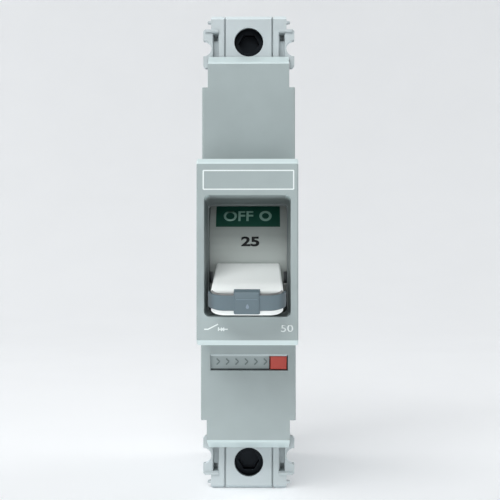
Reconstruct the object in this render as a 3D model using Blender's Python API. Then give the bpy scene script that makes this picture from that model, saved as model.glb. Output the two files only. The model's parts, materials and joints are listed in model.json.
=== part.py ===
"""Single pole moulded case circuit breaker, built as its separate pieces.

Frame: X across the width, Z up along the height, the front faces -Y. The origin is the centre of
the back mounting face. Depths are measured forward from that face, so a depth d lies at y = -d.
The toggle stands at OFF, the contacts are open and the terminal cages are fully lowered.
"""
import math

import bmesh
import bpy

MM = 0.001

# General fits
GAP = 0.3 * MM
OVERRUN = 1.0 * MM
WELD = 0.1 * MM

# Housing, outside
CASE_WIDTH = 25.0 * MM
CASE_HEIGHT = 130.0 * MM
SPLIT_DEPTH = 34.0 * MM
PLATFORM_DEPTH = 43.0 * MM
UPPER_SHOULDER_DEPTH = 48.0 * MM
LOWER_SHOULDER_DEPTH = 52.5 * MM
NOSE_DEPTH = 68.0 * MM
NOSE_HEIGHT = 46.0 * MM
NOSE_EDGE = 1.35 * MM
SIDE_EDGE_CHAMFER = 0.3 * MM
UPPER_SLOPE_RUN = 2.5 * MM
LOWER_SLOPE_RUN = 3.6 * MM
SLOPE_KNEE = 0.35 * MM
LIP_REACH = 1.1 * MM
LIP_THICKNESS = 0.4 * MM
END_EDGE = 1.0 * MM
EDGE_KNEE = (0.68, 0.2)
WAIST_INSET = 1.55 * MM
FLANGE_THICKNESS = 2.0 * MM
EAR_CHAMFER = 0.5 * MM
TIP_INSET = 2.15 * MM
TIP_CHAMFER = 0.4 * MM
BARB_EDGE = 0.3 * MM
BARB_SLOPE = 0.35 * MM
BARB_REACH = 0.95 * MM
FIXING_RADIUS = 2.2 * MM
FIXING_CLEARANCE = 0.1 * MM
FIXING_STEPS = 10

# Places along the height, as distances from either end of the case
CAVITY_FROM_END = 22.0 * MM
WAIST_FROM_END = 20.7 * MM
CASE_SCREW_FROM_END = 17.1 * MM
EAR_START_FROM_END = 14.4 * MM
POCKET_FROM_END = 13.5 * MM
SHOULDER_FROM_END = 12.6 * MM
FIXING_FROM_END = 9.0 * MM
TERMINAL_FROM_END = 7.3 * MM
SLOT_DEEP_FROM_END = 6.6 * MM
SLOT_STOP_FROM_END = 4.8 * MM
RIM_START_FROM_END = 4.6 * MM
RIM_STOP_FROM_END = 3.9 * MM
EAR_STOP_FROM_END = 3.8 * MM
STRAP_FROM_END = 2.6 * MM
BARB_FROM_END = 1.75 * MM

# Housing, inside
SIDE_WALL = 2.0 * MM
FLOOR = 2.0 * MM
FRONT_WALL = 2.0 * MM
END_WALL = 2.0 * MM
POCKET_HALF_WIDTH = 7.9 * MM

# Toggle opening in the nose
WELL_HALF_WIDTH = 10.65 * MM
WELL_DRAFT = 0.3 * MM
WELL_TOP = 13.95 * MM
WELL_TOP_DRAFT = 1.7 * MM
WELL_BOTTOM = -15.9 * MM
WELL_CORNER = 1.2 * MM
WELL_WALL = 1.5 * MM
LEDGE_DEPTH = 57.0 * MM
LEDGE_THICKNESS = 3.2 * MM
THROAT_INSET = 0.25 * MM
THROAT_CORNER = 0.8 * MM

# Trip strip on the lower shoulder
STRIP_LEFT = -10.0 * MM
STRIP_TOP = -27.0 * MM
STRIP_BOTTOM = -31.2 * MM
STRIP_RECESS = 1.1 * MM
STRIP_SLOPE = 0.5 * MM

# Toggle
TOGGLE_PIVOT_Z = -1.0 * MM
TOGGLE_PIVOT_DEPTH = 33.0 * MM
TOGGLE_REST_ANGLE = 15.0
TOGGLE_THROW = 30.0
SHIELD_RADIUS = 20.0 * MM
SHIELD_THICKNESS = 1.1 * MM
SHIELD_HALF_ANGLE = 59.0
SHIELD_STEPS = 20
SHIELD_NOTCH_DEPTH = 0.9 * MM
SHIELD_NOTCH_TOP = 1.05 * MM
SHIELD_NOTCH_BOTTOM = -2.45 * MM
LEVER_TIP_RADIUS = 44.5 * MM
LEVER_ROOT_HALF = 3.5 * MM
LEVER_TIP_HALF = 2.7 * MM
LEVER_ROOT_HALF_WIDTH = 8.35 * MM
LEVER_TIP_HALF_WIDTH = 8.65 * MM
LEVER_CORNER = 3.5 * MM
LEVER_EDGE = 0.5 * MM
LEVER_NECK_HALF_WIDTH = 6.0 * MM
LEVER_NECK_HALF = 2.2 * MM
BAND_FIT = 0.15 * MM
BAND_THICKNESS = 0.55 * MM
BAND_TOP = 2.45 * MM
BAND_BOTTOM = -1.15 * MM
BAND_LENGTH = 3.4 * MM
TAB_HALF_WIDTH = 3.1 * MM
TAB_BOTTOM = -2.1 * MM
TAB_PROUD = 0.3 * MM
TAB_THICKNESS = 0.35 * MM
TAB_LENGTH = 2.2 * MM
TAB_EDGE = 0.3 * MM
TAB_SLOPE_HEIGHT = 1.3 * MM
TAB_SLOPE_DEPTH = 0.6 * MM

# Handle yoke
YOKE_THICKNESS = 0.8 * MM
YOKE_TOP_RADIUS = 17.0 * MM
YOKE_TOP_THICKNESS = 1.4 * MM
YOKE_HALF_LENGTH = 3.2 * MM
YOKE_EYE_RADIUS = 3.6 * MM
STUB_RADIUS = 1.3 * MM

# Mechanism frame
FRAME_THICKNESS = 1.0 * MM
FRAME_LOWER_END = -13.5 * MM
FRAME_UPPER_END = 12.5 * MM
FRAME_FOOT = 4.0 * MM
FRAME_SHOULDER_Z = 9.5 * MM
FRAME_TOP_DEPTH = 36.2 * MM
FRAME_BELLY_DEPTH = 7.5 * MM
SPACER_RADIUS = 1.1 * MM
UPPER_SPACER = (9.0 * MM, 32.0 * MM)
LOWER_SPACER = (-11.0 * MM, 23.5 * MM)

# Contact linkage, seen from the side as (z, depth)
ARM_PIVOT = (-8.0 * MM, 12.0 * MM)
CRADLE_PIVOT = (9.5 * MM, 26.0 * MM)
CRADLE_LINK = (-1.5 * MM, 31.0 * MM)
LINK_PIN_ON_ARM = (8.5 * MM, 5.0 * MM)
LINK_LENGTH = 7.25 * MM
ARM_OPEN_ANGLE = 26.0
SPRING_ANCHOR_RADIUS = 14.0 * MM
ARM_PIN_RADIUS = 1.5 * MM
SMALL_PIN_RADIUS = 1.0 * MM
KNEE_PIN_RADIUS = 1.1 * MM
CRADLE_PIN_RADIUS = 1.2 * MM
LINK_EYE_RADIUS = 2.1 * MM
LINK_THICKNESS = 1.0 * MM
KNEE_SLOT = 1.0 * MM
CRADLE_THICKNESS = 1.6 * MM
CRADLE_TAIL_Z = -16.6 * MM
CRADLE_TAIL_DEPTH = 30.6 * MM
CRADLE_TAIL_HEIGHT = 1.6 * MM
CRADLE_EYE_RADIUS = 2.4 * MM
CRADLE_EYE_START = 60.0
CRADLE_EYE_SWEEP = 180.0
CHEEK_THICKNESS = 1.0 * MM
CHEEK_FIT = 0.6 * MM
CARRIER_LENGTH = 15.7 * MM
CARRIER_TOP = 7.7 * MM
CARRIER_WALL = 1.0 * MM
CARRIER_BOX_START = 11.3 * MM
ARM_HALF_WIDTH = 2.0 * MM
ARM_HALF_THICKNESS = 1.6 * MM
ARM_TAIL = 5.0 * MM
ARM_LENGTH = 29.6 * MM
ARM_EYE_RADIUS = 3.0 * MM
TIP_LENGTH = 3.8 * MM
TIP_THICKNESS = 1.0 * MM
TIP_SETBACK = 1.1 * MM
SPRING_X = 5.6 * MM
SPRING_COIL_RADIUS = 1.4 * MM
SPRING_WIRE_RADIUS = 0.4 * MM
SPRING_TURNS = 9
SPRING_ANCHOR_RING = 0.9 * MM
CONTACT_SPRING_RADIUS = 1.5 * MM
CONTACT_SPRING_WIRE = 0.3 * MM
CONTACT_SPRING_TURNS = 4

# Conductors
STRAP_HALF_WIDTH = 5.5 * MM
STRAP_THICKNESS = 2.5 * MM
STRAP_DEPTH = 25.75 * MM
STRAP_WALL_GAP = 0.75 * MM
LINE_STRAP_FLOOR_DEPTH = 5.65 * MM
LINE_STRAP_INNER_END = 13.0 * MM
LOAD_STRAP_FLOOR_DEPTH = 3.6 * MM
LOAD_STRAP_LAP = 1.4 * MM
FIXED_TIP_HALF_WIDTH = 2.5 * MM
BRAID_HALF_WIDTH = 2.2 * MM
BRAID_THICKNESS = 1.4 * MM
BRAID_ROOT_SHARE = 0.7

# Arc chute
ARC_PLATES = 6
ARC_FIRST_DEPTH = 11.5 * MM
ARC_TOP_RISE = 0.2 * MM
ARC_PLATE_THICKNESS = 1.2 * MM
ARC_PLATE_START = 15.0 * MM
ARC_PLATE_WALL_GAP = 5.7 * MM
ARC_PLATE_HALF_WIDTH = 8.0 * MM
ARC_NOTCH_HALF_WIDTH = 4.5 * MM
ARC_NOTCH_ROOT_HALF_WIDTH = 3.0 * MM
ARC_NOTCH_DEPTH = 7.5 * MM
ARC_SIDE_THICKNESS = 1.0 * MM
ARC_TAB_SHARES = (0.18, 0.72)
ARC_TAB_LENGTH = 3.0 * MM
ARC_VENT_THICKNESS = 1.1 * MM
ARC_VENT_ROWS = 5
ARC_VENT_COLUMNS = 2
ARC_VENT_SLOT = (6.0 * MM, 2.2 * MM)

# Terminals
CAGE_LENGTH = 8.4 * MM
CAGE_HALF_WIDTH = 7.5 * MM
CAGE_WALL = 1.5 * MM
CAGE_ROOF = 3.5 * MM
CAGE_OPENING = 14.0 * MM
SCREW_RADIUS = 3.0 * MM
SCREW_HEAD_RADIUS = 4.8 * MM
SCREW_HEAD_DEPTH = 40.5 * MM
SCREW_HEAD_THICKNESS = 3.0 * MM
SCREW_SOCKET_RADIUS = 2.9 * MM
SCREW_SOCKET_DEPTH = 2.3 * MM
ENTRY_HALF_WIDTH = 6.0 * MM
ENTRY_BOTTOM = 13.5 * MM
SHROUD_HALF_WIDTH = 6.35 * MM
SHROUD_FIT = 0.3 * MM
SHROUD_LAP = 0.3 * MM
SHROUD_LAP_SINK = 0.8 * MM
GROOVE_EDGE = 0.2 * MM
SHROUD_THICKNESS = 1.7 * MM
SHROUD_RAIL = 1.4 * MM
SHROUD_RAIL_INSET = 0.75 * MM
SHROUD_APRON = 1.7 * MM
SHROUD_APRON_DROP = 7.0 * MM
TOOL_HOLE_RADIUS = 3.97 * MM
SLOT_INNER = 8.25 * MM
SLOT_OUTER = 9.9 * MM
SLOT_POCKET_WALL = 0.75 * MM
SLOT_OUTER_WALL = 0.5 * MM
SLOT_RECESS = 1.9 * MM
SLOT_DEEP_RECESS = 4.5 * MM
RIM_HEIGHT = 0.5 * MM

# Case screws
CASE_SCREW_X = 8.0 * MM
CASE_SCREW_RADIUS = 1.4 * MM
CASE_SCREW_HEAD_RADIUS = 2.0 * MM
CASE_SCREW_HEAD_THICKNESS = 1.8 * MM
CASE_SCREW_SINK = 0.5 * MM
CASE_SCREW_TIP_DEPTH = 41.5 * MM
CASE_SCREW_SOCKET_RADIUS = 1.1 * MM

# Trip unit, whose pieces stand at distances below the trip bar's shaft
HEATER_HALF_WIDTH = 3.0 * MM
HEATER_THICKNESS = 1.2 * MM
HEATER_FRONT = 11.0 * MM
HEATER_BACK = 15.0 * MM
HEATER_TOP_DEPTH = 18.6 * MM
HEATER_FOOT_DEPTH = 3.2 * MM
HEATER_FOOT_RISE = 2.0 * MM
BIMETAL_HALF_WIDTH = 2.5 * MM
BIMETAL_THICKNESS = 0.8 * MM
BIMETAL_PLACE = 9.2 * MM
BIMETAL_TOP_DEPTH = 24.0 * MM
BIMETAL_FOOT = 2.4 * MM
CALIBRATION_DEPTH = 21.5 * MM
CALIBRATION_RADIUS = 1.0 * MM
CALIBRATION_HEAD_RADIUS = 1.7 * MM
CALIBRATION_TIP = 4.2 * MM
CORE_HALF_WIDTH = 6.4 * MM
CORE_THICKNESS = 1.2 * MM
CORE_POLE = 7.6 * MM
CORE_BACK = 17.45 * MM
CORE_BOTTOM_DEPTH = 8.0 * MM
CORE_TOP_DEPTH = 16.0 * MM
ARMATURE_PLACE = 5.9 * MM
ARMATURE_PIVOT_DEPTH = 18.0 * MM
ARMATURE_THICKNESS = 1.0 * MM
ARMATURE_HALF_WIDTH = 6.2 * MM
ARMATURE_EAR_HALF_WIDTH = 8.5 * MM
ARMATURE_TAIL_DEPTH = 23.0 * MM
ARMATURE_TAIL_WIDTH = 3.2 * MM
ARMATURE_TAIL_OFFSET = 1.4 * MM
POST_INNER = 7.0 * MM
TRIP_PIVOT = (-22.0 * MM, 26.0 * MM)
TRIP_SHAFT_RADIUS = 2.0 * MM
TRIP_JOURNAL_RADIUS = 1.2 * MM
TRIP_JOURNAL_LENGTH = 1.3 * MM
TRIP_FINGER_ROOT = (1.6 * MM, 1.2 * MM)
TRIP_ARM_ROOT = (1.0 * MM, 1.7 * MM)
TRIP_LEG_ROOT = (1.8 * MM, 1.4 * MM)
SADDLE_HALF_LENGTH = 2.6 * MM
LATCH_HALF_WIDTH = 2.4 * MM
LATCH_THICKNESS = 0.9 * MM
LATCH_LIP = 1.5 * MM
LATCH_LIP_THICKNESS = 1.3 * MM
TRIP_FOOT_DEPTH = 18.6 * MM
BUTTON_LEFT = 5.85 * MM
BUTTON_WIDTH = 4.25 * MM
BUTTON_TOP = -27.5 * MM
BUTTON_HEIGHT = 3.35 * MM
BUTTON_SUNK = 0.2 * MM
BUTTON_FLANGE = 0.6 * MM
BUTTON_FLANGE_THICKNESS = 1.2 * MM
BUTTON_STEM_RADIUS = 0.9 * MM
BUTTON_STEM_END = 28.3 * MM
BUTTON_SHELF_DEPTH = 41.4 * MM
BUTTON_SHELF_THICKNESS = 1.5 * MM
BUTTON_SPRING_RADIUS = 1.45 * MM
BUTTON_SPRING_WIRE = 0.22 * MM
BUTTON_SPRING_TURNS = 5

# Facets of the round shapes
ROUND_SIDES = 32
PIN_SIDES = 16
COIL_STEPS = 9
CORNER_STEPS = 4

# Layout worked out from the sizes above
half_width = CASE_WIDTH / 2
half_height = CASE_HEIGHT / 2
half_nose = NOSE_HEIGHT / 2
waist_half = half_width - WAIST_INSET
block_half = half_width - FIXING_RADIUS - FIXING_CLEARANCE
tip_half = half_width - TIP_INSET
inner_half = half_width - SIDE_WALL
cavity_half = half_height - CAVITY_FROM_END
waist_z = half_height - WAIST_FROM_END
case_screw_z = half_height - CASE_SCREW_FROM_END
ear_start = half_height - EAR_START_FROM_END
pocket_start = half_height - POCKET_FROM_END
pocket_end = half_height - END_WALL
shoulder_end = half_height - SHOULDER_FROM_END
block_start = shoulder_end + GAP
fixing_z = half_height - FIXING_FROM_END
terminal_z = half_height - TERMINAL_FROM_END
ear_stop = half_height - EAR_STOP_FROM_END
barb_z = half_height - BARB_FROM_END
shroud_underside = PLATFORM_DEPTH - SHROUD_THICKNESS
apron_bottom = shroud_underside - SHROUD_APRON_DROP
lap_top = PLATFORM_DEPTH - SHROUD_LAP_SINK
lap_half = SHROUD_HALF_WIDTH + SHROUD_LAP
lip_z = shoulder_end + LIP_REACH
lip_underside = PLATFORM_DEPTH + GAP
strap_wall_z = cavity_half - STRAP_WALL_GAP - STRAP_THICKNESS / 2
yoke_outer = inner_half - GAP
yoke_inner = yoke_outer - YOKE_THICKNESS
frame_outer = yoke_inner - GAP - WELD
frame_inner = frame_outer - FRAME_THICKNESS
cradle_half = CRADLE_THICKNESS / 2
upper_link_inner = cradle_half + GAP
lower_link_inner = upper_link_inner + LINK_THICKNESS + GAP
cheek_inner = lower_link_inner + LINK_THICKNESS + CHEEK_FIT
cheek_outer = cheek_inner + CHEEK_THICKNESS
strap_bottom = STRAP_DEPTH - STRAP_THICKNESS / 2
strap_top = STRAP_DEPTH + STRAP_THICKNESS / 2
cage_ceiling = strap_top + GAP
button_x = BUTTON_LEFT + BUTTON_WIDTH / 2
button_z = BUTTON_TOP - BUTTON_HEIGHT / 2
strip_right = BUTTON_LEFT + BUTTON_WIDTH + GAP
saddle_half = inner_half - GAP - TRIP_JOURNAL_LENGTH
arc_plate_end = cavity_half - ARC_PLATE_WALL_GAP
arc_chute_top = SPLIT_DEPTH + ARC_TOP_RISE
heater_foot_end = TRIP_PIVOT[0] + HEATER_FOOT_RISE
heater_front_z = TRIP_PIVOT[0] - HEATER_FRONT
heater_back_z = TRIP_PIVOT[0] - HEATER_BACK
bimetal_z = TRIP_PIVOT[0] - BIMETAL_PLACE
calibration_tip_z = TRIP_PIVOT[0] - CALIBRATION_TIP
core_pole_z = TRIP_PIVOT[0] - CORE_POLE
core_back_z = TRIP_PIVOT[0] - CORE_BACK
armature_pivot = (TRIP_PIVOT[0] - ARMATURE_PLACE, ARMATURE_PIVOT_DEPTH)


def srgb(red, green, blue):
    """Linear colour from screen values of 0 to 255."""
    def channel(value):
        value /= 255
        return value / 12.92 if value <= 0.04045 else ((value + 0.055) / 1.055) ** 2.4
    return (channel(red), channel(green), channel(blue), 1.0)


FINISHES = {
    "grey_moulding": (srgb(158, 170, 172), 0.55, 0.0),
    "pale_moulding": (srgb(196, 206, 206), 0.55, 0.0),
    "white_moulding": (srgb(232, 241, 240), 0.45, 0.0),
    "dark_moulding": (srgb(112, 126, 136), 0.5, 0.0),
    "red_moulding": (srgb(184, 70, 56), 0.45, 0.0),
    "black_moulding": (srgb(38, 40, 42), 0.55, 0.0),
    "fibre_board": (srgb(176, 120, 84), 0.8, 0.0),
    "steel": (srgb(150, 154, 158), 0.35, 1.0),
    "plated_steel": (srgb(196, 194, 182), 0.3, 1.0),
    "spring_steel": (srgb(120, 122, 126), 0.3, 1.0),
    "copper": (srgb(196, 120, 84), 0.35, 1.0),
    "brass": (srgb(200, 168, 96), 0.35, 1.0),
    "silver": (srgb(214, 214, 210), 0.25, 1.0),
}


def clear_scene():
    for item in list(bpy.data.objects):
        bpy.data.objects.remove(item, do_unlink=True)


def finish(item, name):
    """Give a piece its material, made the first time that it is used."""
    material = bpy.data.materials.get(name)
    if material is None:
        colour, roughness, metallic = FINISHES[name]
        material = bpy.data.materials.new(name)
        material.use_nodes = True
        shader = material.node_tree.nodes["Principled BSDF"]
        shader.inputs["Base Color"].default_value = colour
        shader.inputs["Roughness"].default_value = roughness
        shader.inputs["Metallic"].default_value = metallic
    item.data.materials.append(material)


def pivot(name, z, depth, angle, parent=None):
    """Empty on a joint's axis, turned about X by an angle in degrees."""
    empty = bpy.data.objects.new(name, None)
    bpy.context.scene.collection.objects.link(empty)
    empty.empty_display_size = 2.0 * MM
    empty.location = (0.0, -depth, z)
    empty.rotation_euler = (math.radians(angle), 0.0, 0.0)
    empty.parent = parent
    return empty


def add_object(name, mesh, parent):
    item = bpy.data.objects.new(name, mesh)
    bpy.context.scene.collection.objects.link(item)
    item.parent = parent
    return item


PLACES = {
    "x": lambda first, second, along: (along, -second, first),
    "depth": lambda first, second, along: (first, -along, second),
    "z": lambda first, second, along: (first, -second, along),
}


def prisms(name, outlines, axis, low, high, parent=None, tops=None):
    """Closed outlines extruded along an axis into one mesh.

    An outline holds (z, depth) pairs for axis x, (x, z) pairs for axis depth and (x, depth) pairs
    for axis z. Each outline in tops, if any, is the far end of a tapered prism.
    """
    place = PLACES[axis]
    low, high = min(low, high), max(low, high)
    bm = bmesh.new()
    for number, outline in enumerate(outlines):
        top = tops[number] if tops else outline
        near = [bm.verts.new(place(first, second, low)) for first, second in outline]
        far = [bm.verts.new(place(first, second, high)) for first, second in top]
        bm.faces.new(near)
        bm.faces.new(far)
        for index in range(len(near)):
            after = (index + 1) % len(near)
            bm.faces.new((near[index], near[after], far[after], far[index]))
    bmesh.ops.recalc_face_normals(bm, faces=bm.faces[:])
    mesh = bpy.data.meshes.new(name)
    bm.to_mesh(mesh)
    bm.free()
    mesh.shade_smooth()
    mesh.set_sharp_from_angle(angle=math.radians(35))
    return add_object(name, mesh, parent)


def prism(name, outline, axis, low, high, parent=None, top=None):
    return prisms(name, [outline], axis, low, high, parent, [top] if top else None)


def boxes(name, ranges, parent=None):
    """One mesh of separate boxes, each given by its x, depth and z ranges."""
    bm = bmesh.new()
    for x_range, depth_range, z_range in ranges:
        corners = [
            bm.verts.new((x, -depth, z))
            for x in sorted(x_range)
            for depth in sorted(depth_range)
            for z in sorted(z_range)
        ]
        for loop in ((0, 1, 3, 2), (4, 6, 7, 5), (0, 4, 5, 1), (2, 3, 7, 6), (0, 2, 6, 4), (1, 5, 7, 3)):
            bm.faces.new([corners[index] for index in loop])
    bmesh.ops.recalc_face_normals(bm, faces=bm.faces[:])
    mesh = bpy.data.meshes.new(name)
    bm.to_mesh(mesh)
    bm.free()
    return add_object(name, mesh, parent)


def arc(first, second, radius, start, end, steps):
    """Points of an arc, from one angle to another in degrees."""
    points = []
    for step in range(steps + 1):
        angle = math.radians(start + (end - start) * step / steps)
        points.append((first + radius * math.cos(angle), second + radius * math.sin(angle)))
    return points


def circle(first, second, radius, sides=ROUND_SIDES):
    return arc(first, second, radius, 0, 360 * (sides - 1) / sides, sides - 1)


def rounded_rectangle(first_low, first_high, second_low, second_high, radius):
    return (
        arc(first_high - radius, second_high - radius, radius, 0, 90, CORNER_STEPS)
        + arc(first_low + radius, second_high - radius, radius, 90, 180, CORNER_STEPS)
        + arc(first_low + radius, second_low + radius, radius, 180, 270, CORNER_STEPS)
        + arc(first_high - radius, second_low + radius, radius, 270, 360, CORNER_STEPS)
    )


def ribbon(points, thickness):
    """Outline of a bent strip of even thickness, mitred at each bend of its centre line."""
    def direction(start, end):
        length = math.dist(start, end)
        return ((end[0] - start[0]) / length, (end[1] - start[1]) / length)

    left = []
    right = []
    for index, point in enumerate(points):
        after = points[index + 1] if index + 1 < len(points) else None
        before = points[index - 1] if index > 0 else None
        arriving = direction(before, point) if before else direction(point, after)
        leaving = direction(point, after) if after else arriving
        normal = (-(arriving[1] + leaving[1]), arriving[0] + leaving[0])
        length = math.hypot(*normal)
        normal = (normal[0] / length, normal[1] / length)
        reach = thickness / 2 / (normal[1] * arriving[0] - normal[0] * arriving[1])
        left.append((point[0] + normal[0] * reach, point[1] + normal[1] * reach))
        right.append((point[0] - normal[0] * reach, point[1] - normal[1] * reach))
    return left + right[::-1]


def smooth_line(points, steps):
    """Points of a Catmull-Rom curve through the given points."""
    result = []
    last = len(points) - 1
    for index in range(last):
        a = points[max(index - 1, 0)]
        b = points[index]
        c = points[index + 1]
        d = points[min(index + 2, last)]
        for step in range(steps):
            t = step / steps
            result.append(tuple(
                0.5 * (2 * b[k] + (c[k] - a[k]) * t
                       + (2 * a[k] - 5 * b[k] + 4 * c[k] - d[k]) * t ** 2
                       + (3 * b[k] - a[k] - 3 * c[k] + d[k]) * t ** 3)
                for k in range(len(b))))
    result.append(tuple(points[last]))
    return result


def wire(name, points, radius, parent=None):
    """Round wire along (x, depth, z) points."""
    curve = bpy.data.curves.new(name, "CURVE")
    curve.dimensions = "3D"
    curve.bevel_depth = radius
    curve.bevel_resolution = 1
    curve.use_fill_caps = True
    spline = curve.splines.new("POLY")
    spline.points.add(len(points) - 1)
    for target, (x, depth, z) in zip(spline.points, points):
        target.co = (x, -depth, z, 1.0)
    return add_object(name, curve, parent)


def boolean(target, tool, operation):
    tool.hide_render = True
    tool.display_type = "WIRE"
    modifier = target.modifiers.new(tool.name, "BOOLEAN")
    modifier.operation = operation
    modifier.object = tool
    modifier.solver = "EXACT"


def cut(target, tool):
    boolean(target, tool, "DIFFERENCE")


def fuse(target, tool):
    boolean(target, tool, "UNION")


def turned(point, angle):
    """A (z, depth) pair turned about X by an angle in degrees."""
    cosine = math.cos(math.radians(angle))
    sine = math.sin(math.radians(angle))
    return (point[0] * cosine - point[1] * sine, point[0] * sine + point[1] * cosine)


def direction_of(start, end):
    return math.degrees(math.atan2(end[1] - start[1], end[0] - start[0]))


def linkage(arm_angle, lever_angle):
    """Side view places of the arm pin, the knee and the spring anchor."""
    arm_pin = turned(LINK_PIN_ON_ARM, arm_angle)
    arm_pin = (arm_pin[0] + ARM_PIVOT[0], arm_pin[1] + ARM_PIVOT[1])
    span = math.dist(CRADLE_LINK, arm_pin)
    sag = math.sqrt(LINK_LENGTH ** 2 - (span / 2) ** 2)
    along = ((arm_pin[0] - CRADLE_LINK[0]) / span, (arm_pin[1] - CRADLE_LINK[1]) / span)
    knee = (
        CRADLE_LINK[0] + along[0] * span / 2 + along[1] * sag,
        CRADLE_LINK[1] + along[1] * span / 2 - along[0] * sag,
    )
    anchor = turned((0.0, SPRING_ANCHOR_RADIUS), lever_angle)
    anchor = (anchor[0] + TOGGLE_PIVOT_Z, anchor[1] + TOGGLE_PIVOT_DEPTH)
    return arm_pin, knee, anchor


def softened(end, front, size):
    """Edge between an end face and a front face: a slope and a small knee, as (z, depth) pairs."""
    inward = -size if end > 0 else size
    knee_z, knee_depth = EDGE_KNEE
    return [(end, front - size), (end + knee_z * inward, front - knee_depth * size), (end + inward, front)]


def sloped_shoulder(sign, run, front):
    """End of a shoulder: a lip over the platform and a slope up to the front face."""
    foot = lip_underside + LIP_THICKNESS
    crease = lip_z - run
    share = SLOPE_KNEE / (front - foot)
    points = [
        (shoulder_end, PLATFORM_DEPTH - OVERRUN), (shoulder_end, lip_underside), (lip_z, lip_underside),
        (lip_z, foot), (crease + share * run, front - SLOPE_KNEE), (crease - SLOPE_KNEE, front),
    ]
    return [(sign * z, depth) for z, depth in points]


def cut_end_edges(item):
    """Soften the front edge at each end of the case."""
    beyond = half_width + OVERRUN
    over = PLATFORM_DEPTH + OVERRUN
    corner = softened(half_height, PLATFORM_DEPTH, END_EDGE) + [
        (half_height - END_EDGE, over), (half_height + OVERRUN, over),
        (half_height + OVERRUN, PLATFORM_DEPTH - END_EDGE),
    ]
    mirrored = [(-z, depth) for z, depth in corner]
    cut(item, prisms(item.name + "_end_edges", [corner, mirrored], "x", -beyond, beyond))


def four_ways(quarter):
    """Outline from its upper right quarter, mirrored downwards and to the left."""
    right = [(x, -z) for x, z in reversed(quarter)] + quarter
    return right + [(-x, z) for x, z in reversed(right)]


def flange_outline(sign):
    """Front view outline of an end's flange, with its ears, fixing notches and barbs."""
    inner = waist_half + GAP
    right = [
        (inner, block_start),
        (inner, ear_start),
        (half_width - EAR_CHAMFER, ear_start),
        (half_width, ear_start + EAR_CHAMFER),
        *arc(half_width, fixing_z, FIXING_RADIUS, -90, -270, FIXING_STEPS),
        (half_width, ear_stop - EAR_CHAMFER),
        (half_width - EAR_CHAMFER, ear_stop),
        (tip_half, ear_stop),
        (tip_half, barb_z - BARB_EDGE),
        (tip_half + BARB_REACH, barb_z - BARB_EDGE / 2),
        (tip_half + BARB_REACH, barb_z + BARB_EDGE / 2),
        (tip_half, barb_z + BARB_SLOPE),
        (tip_half, half_height - TIP_CHAMFER),
        (tip_half - TIP_CHAMFER, half_height),
    ]
    outline = right + [(-x, z) for x, z in reversed(right)]
    return [(x, sign * z) for x, z in outline]


def upper_and_lower(low, high):
    """The same z range above and below the middle."""
    return ((low, high), (-high, -low))


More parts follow.
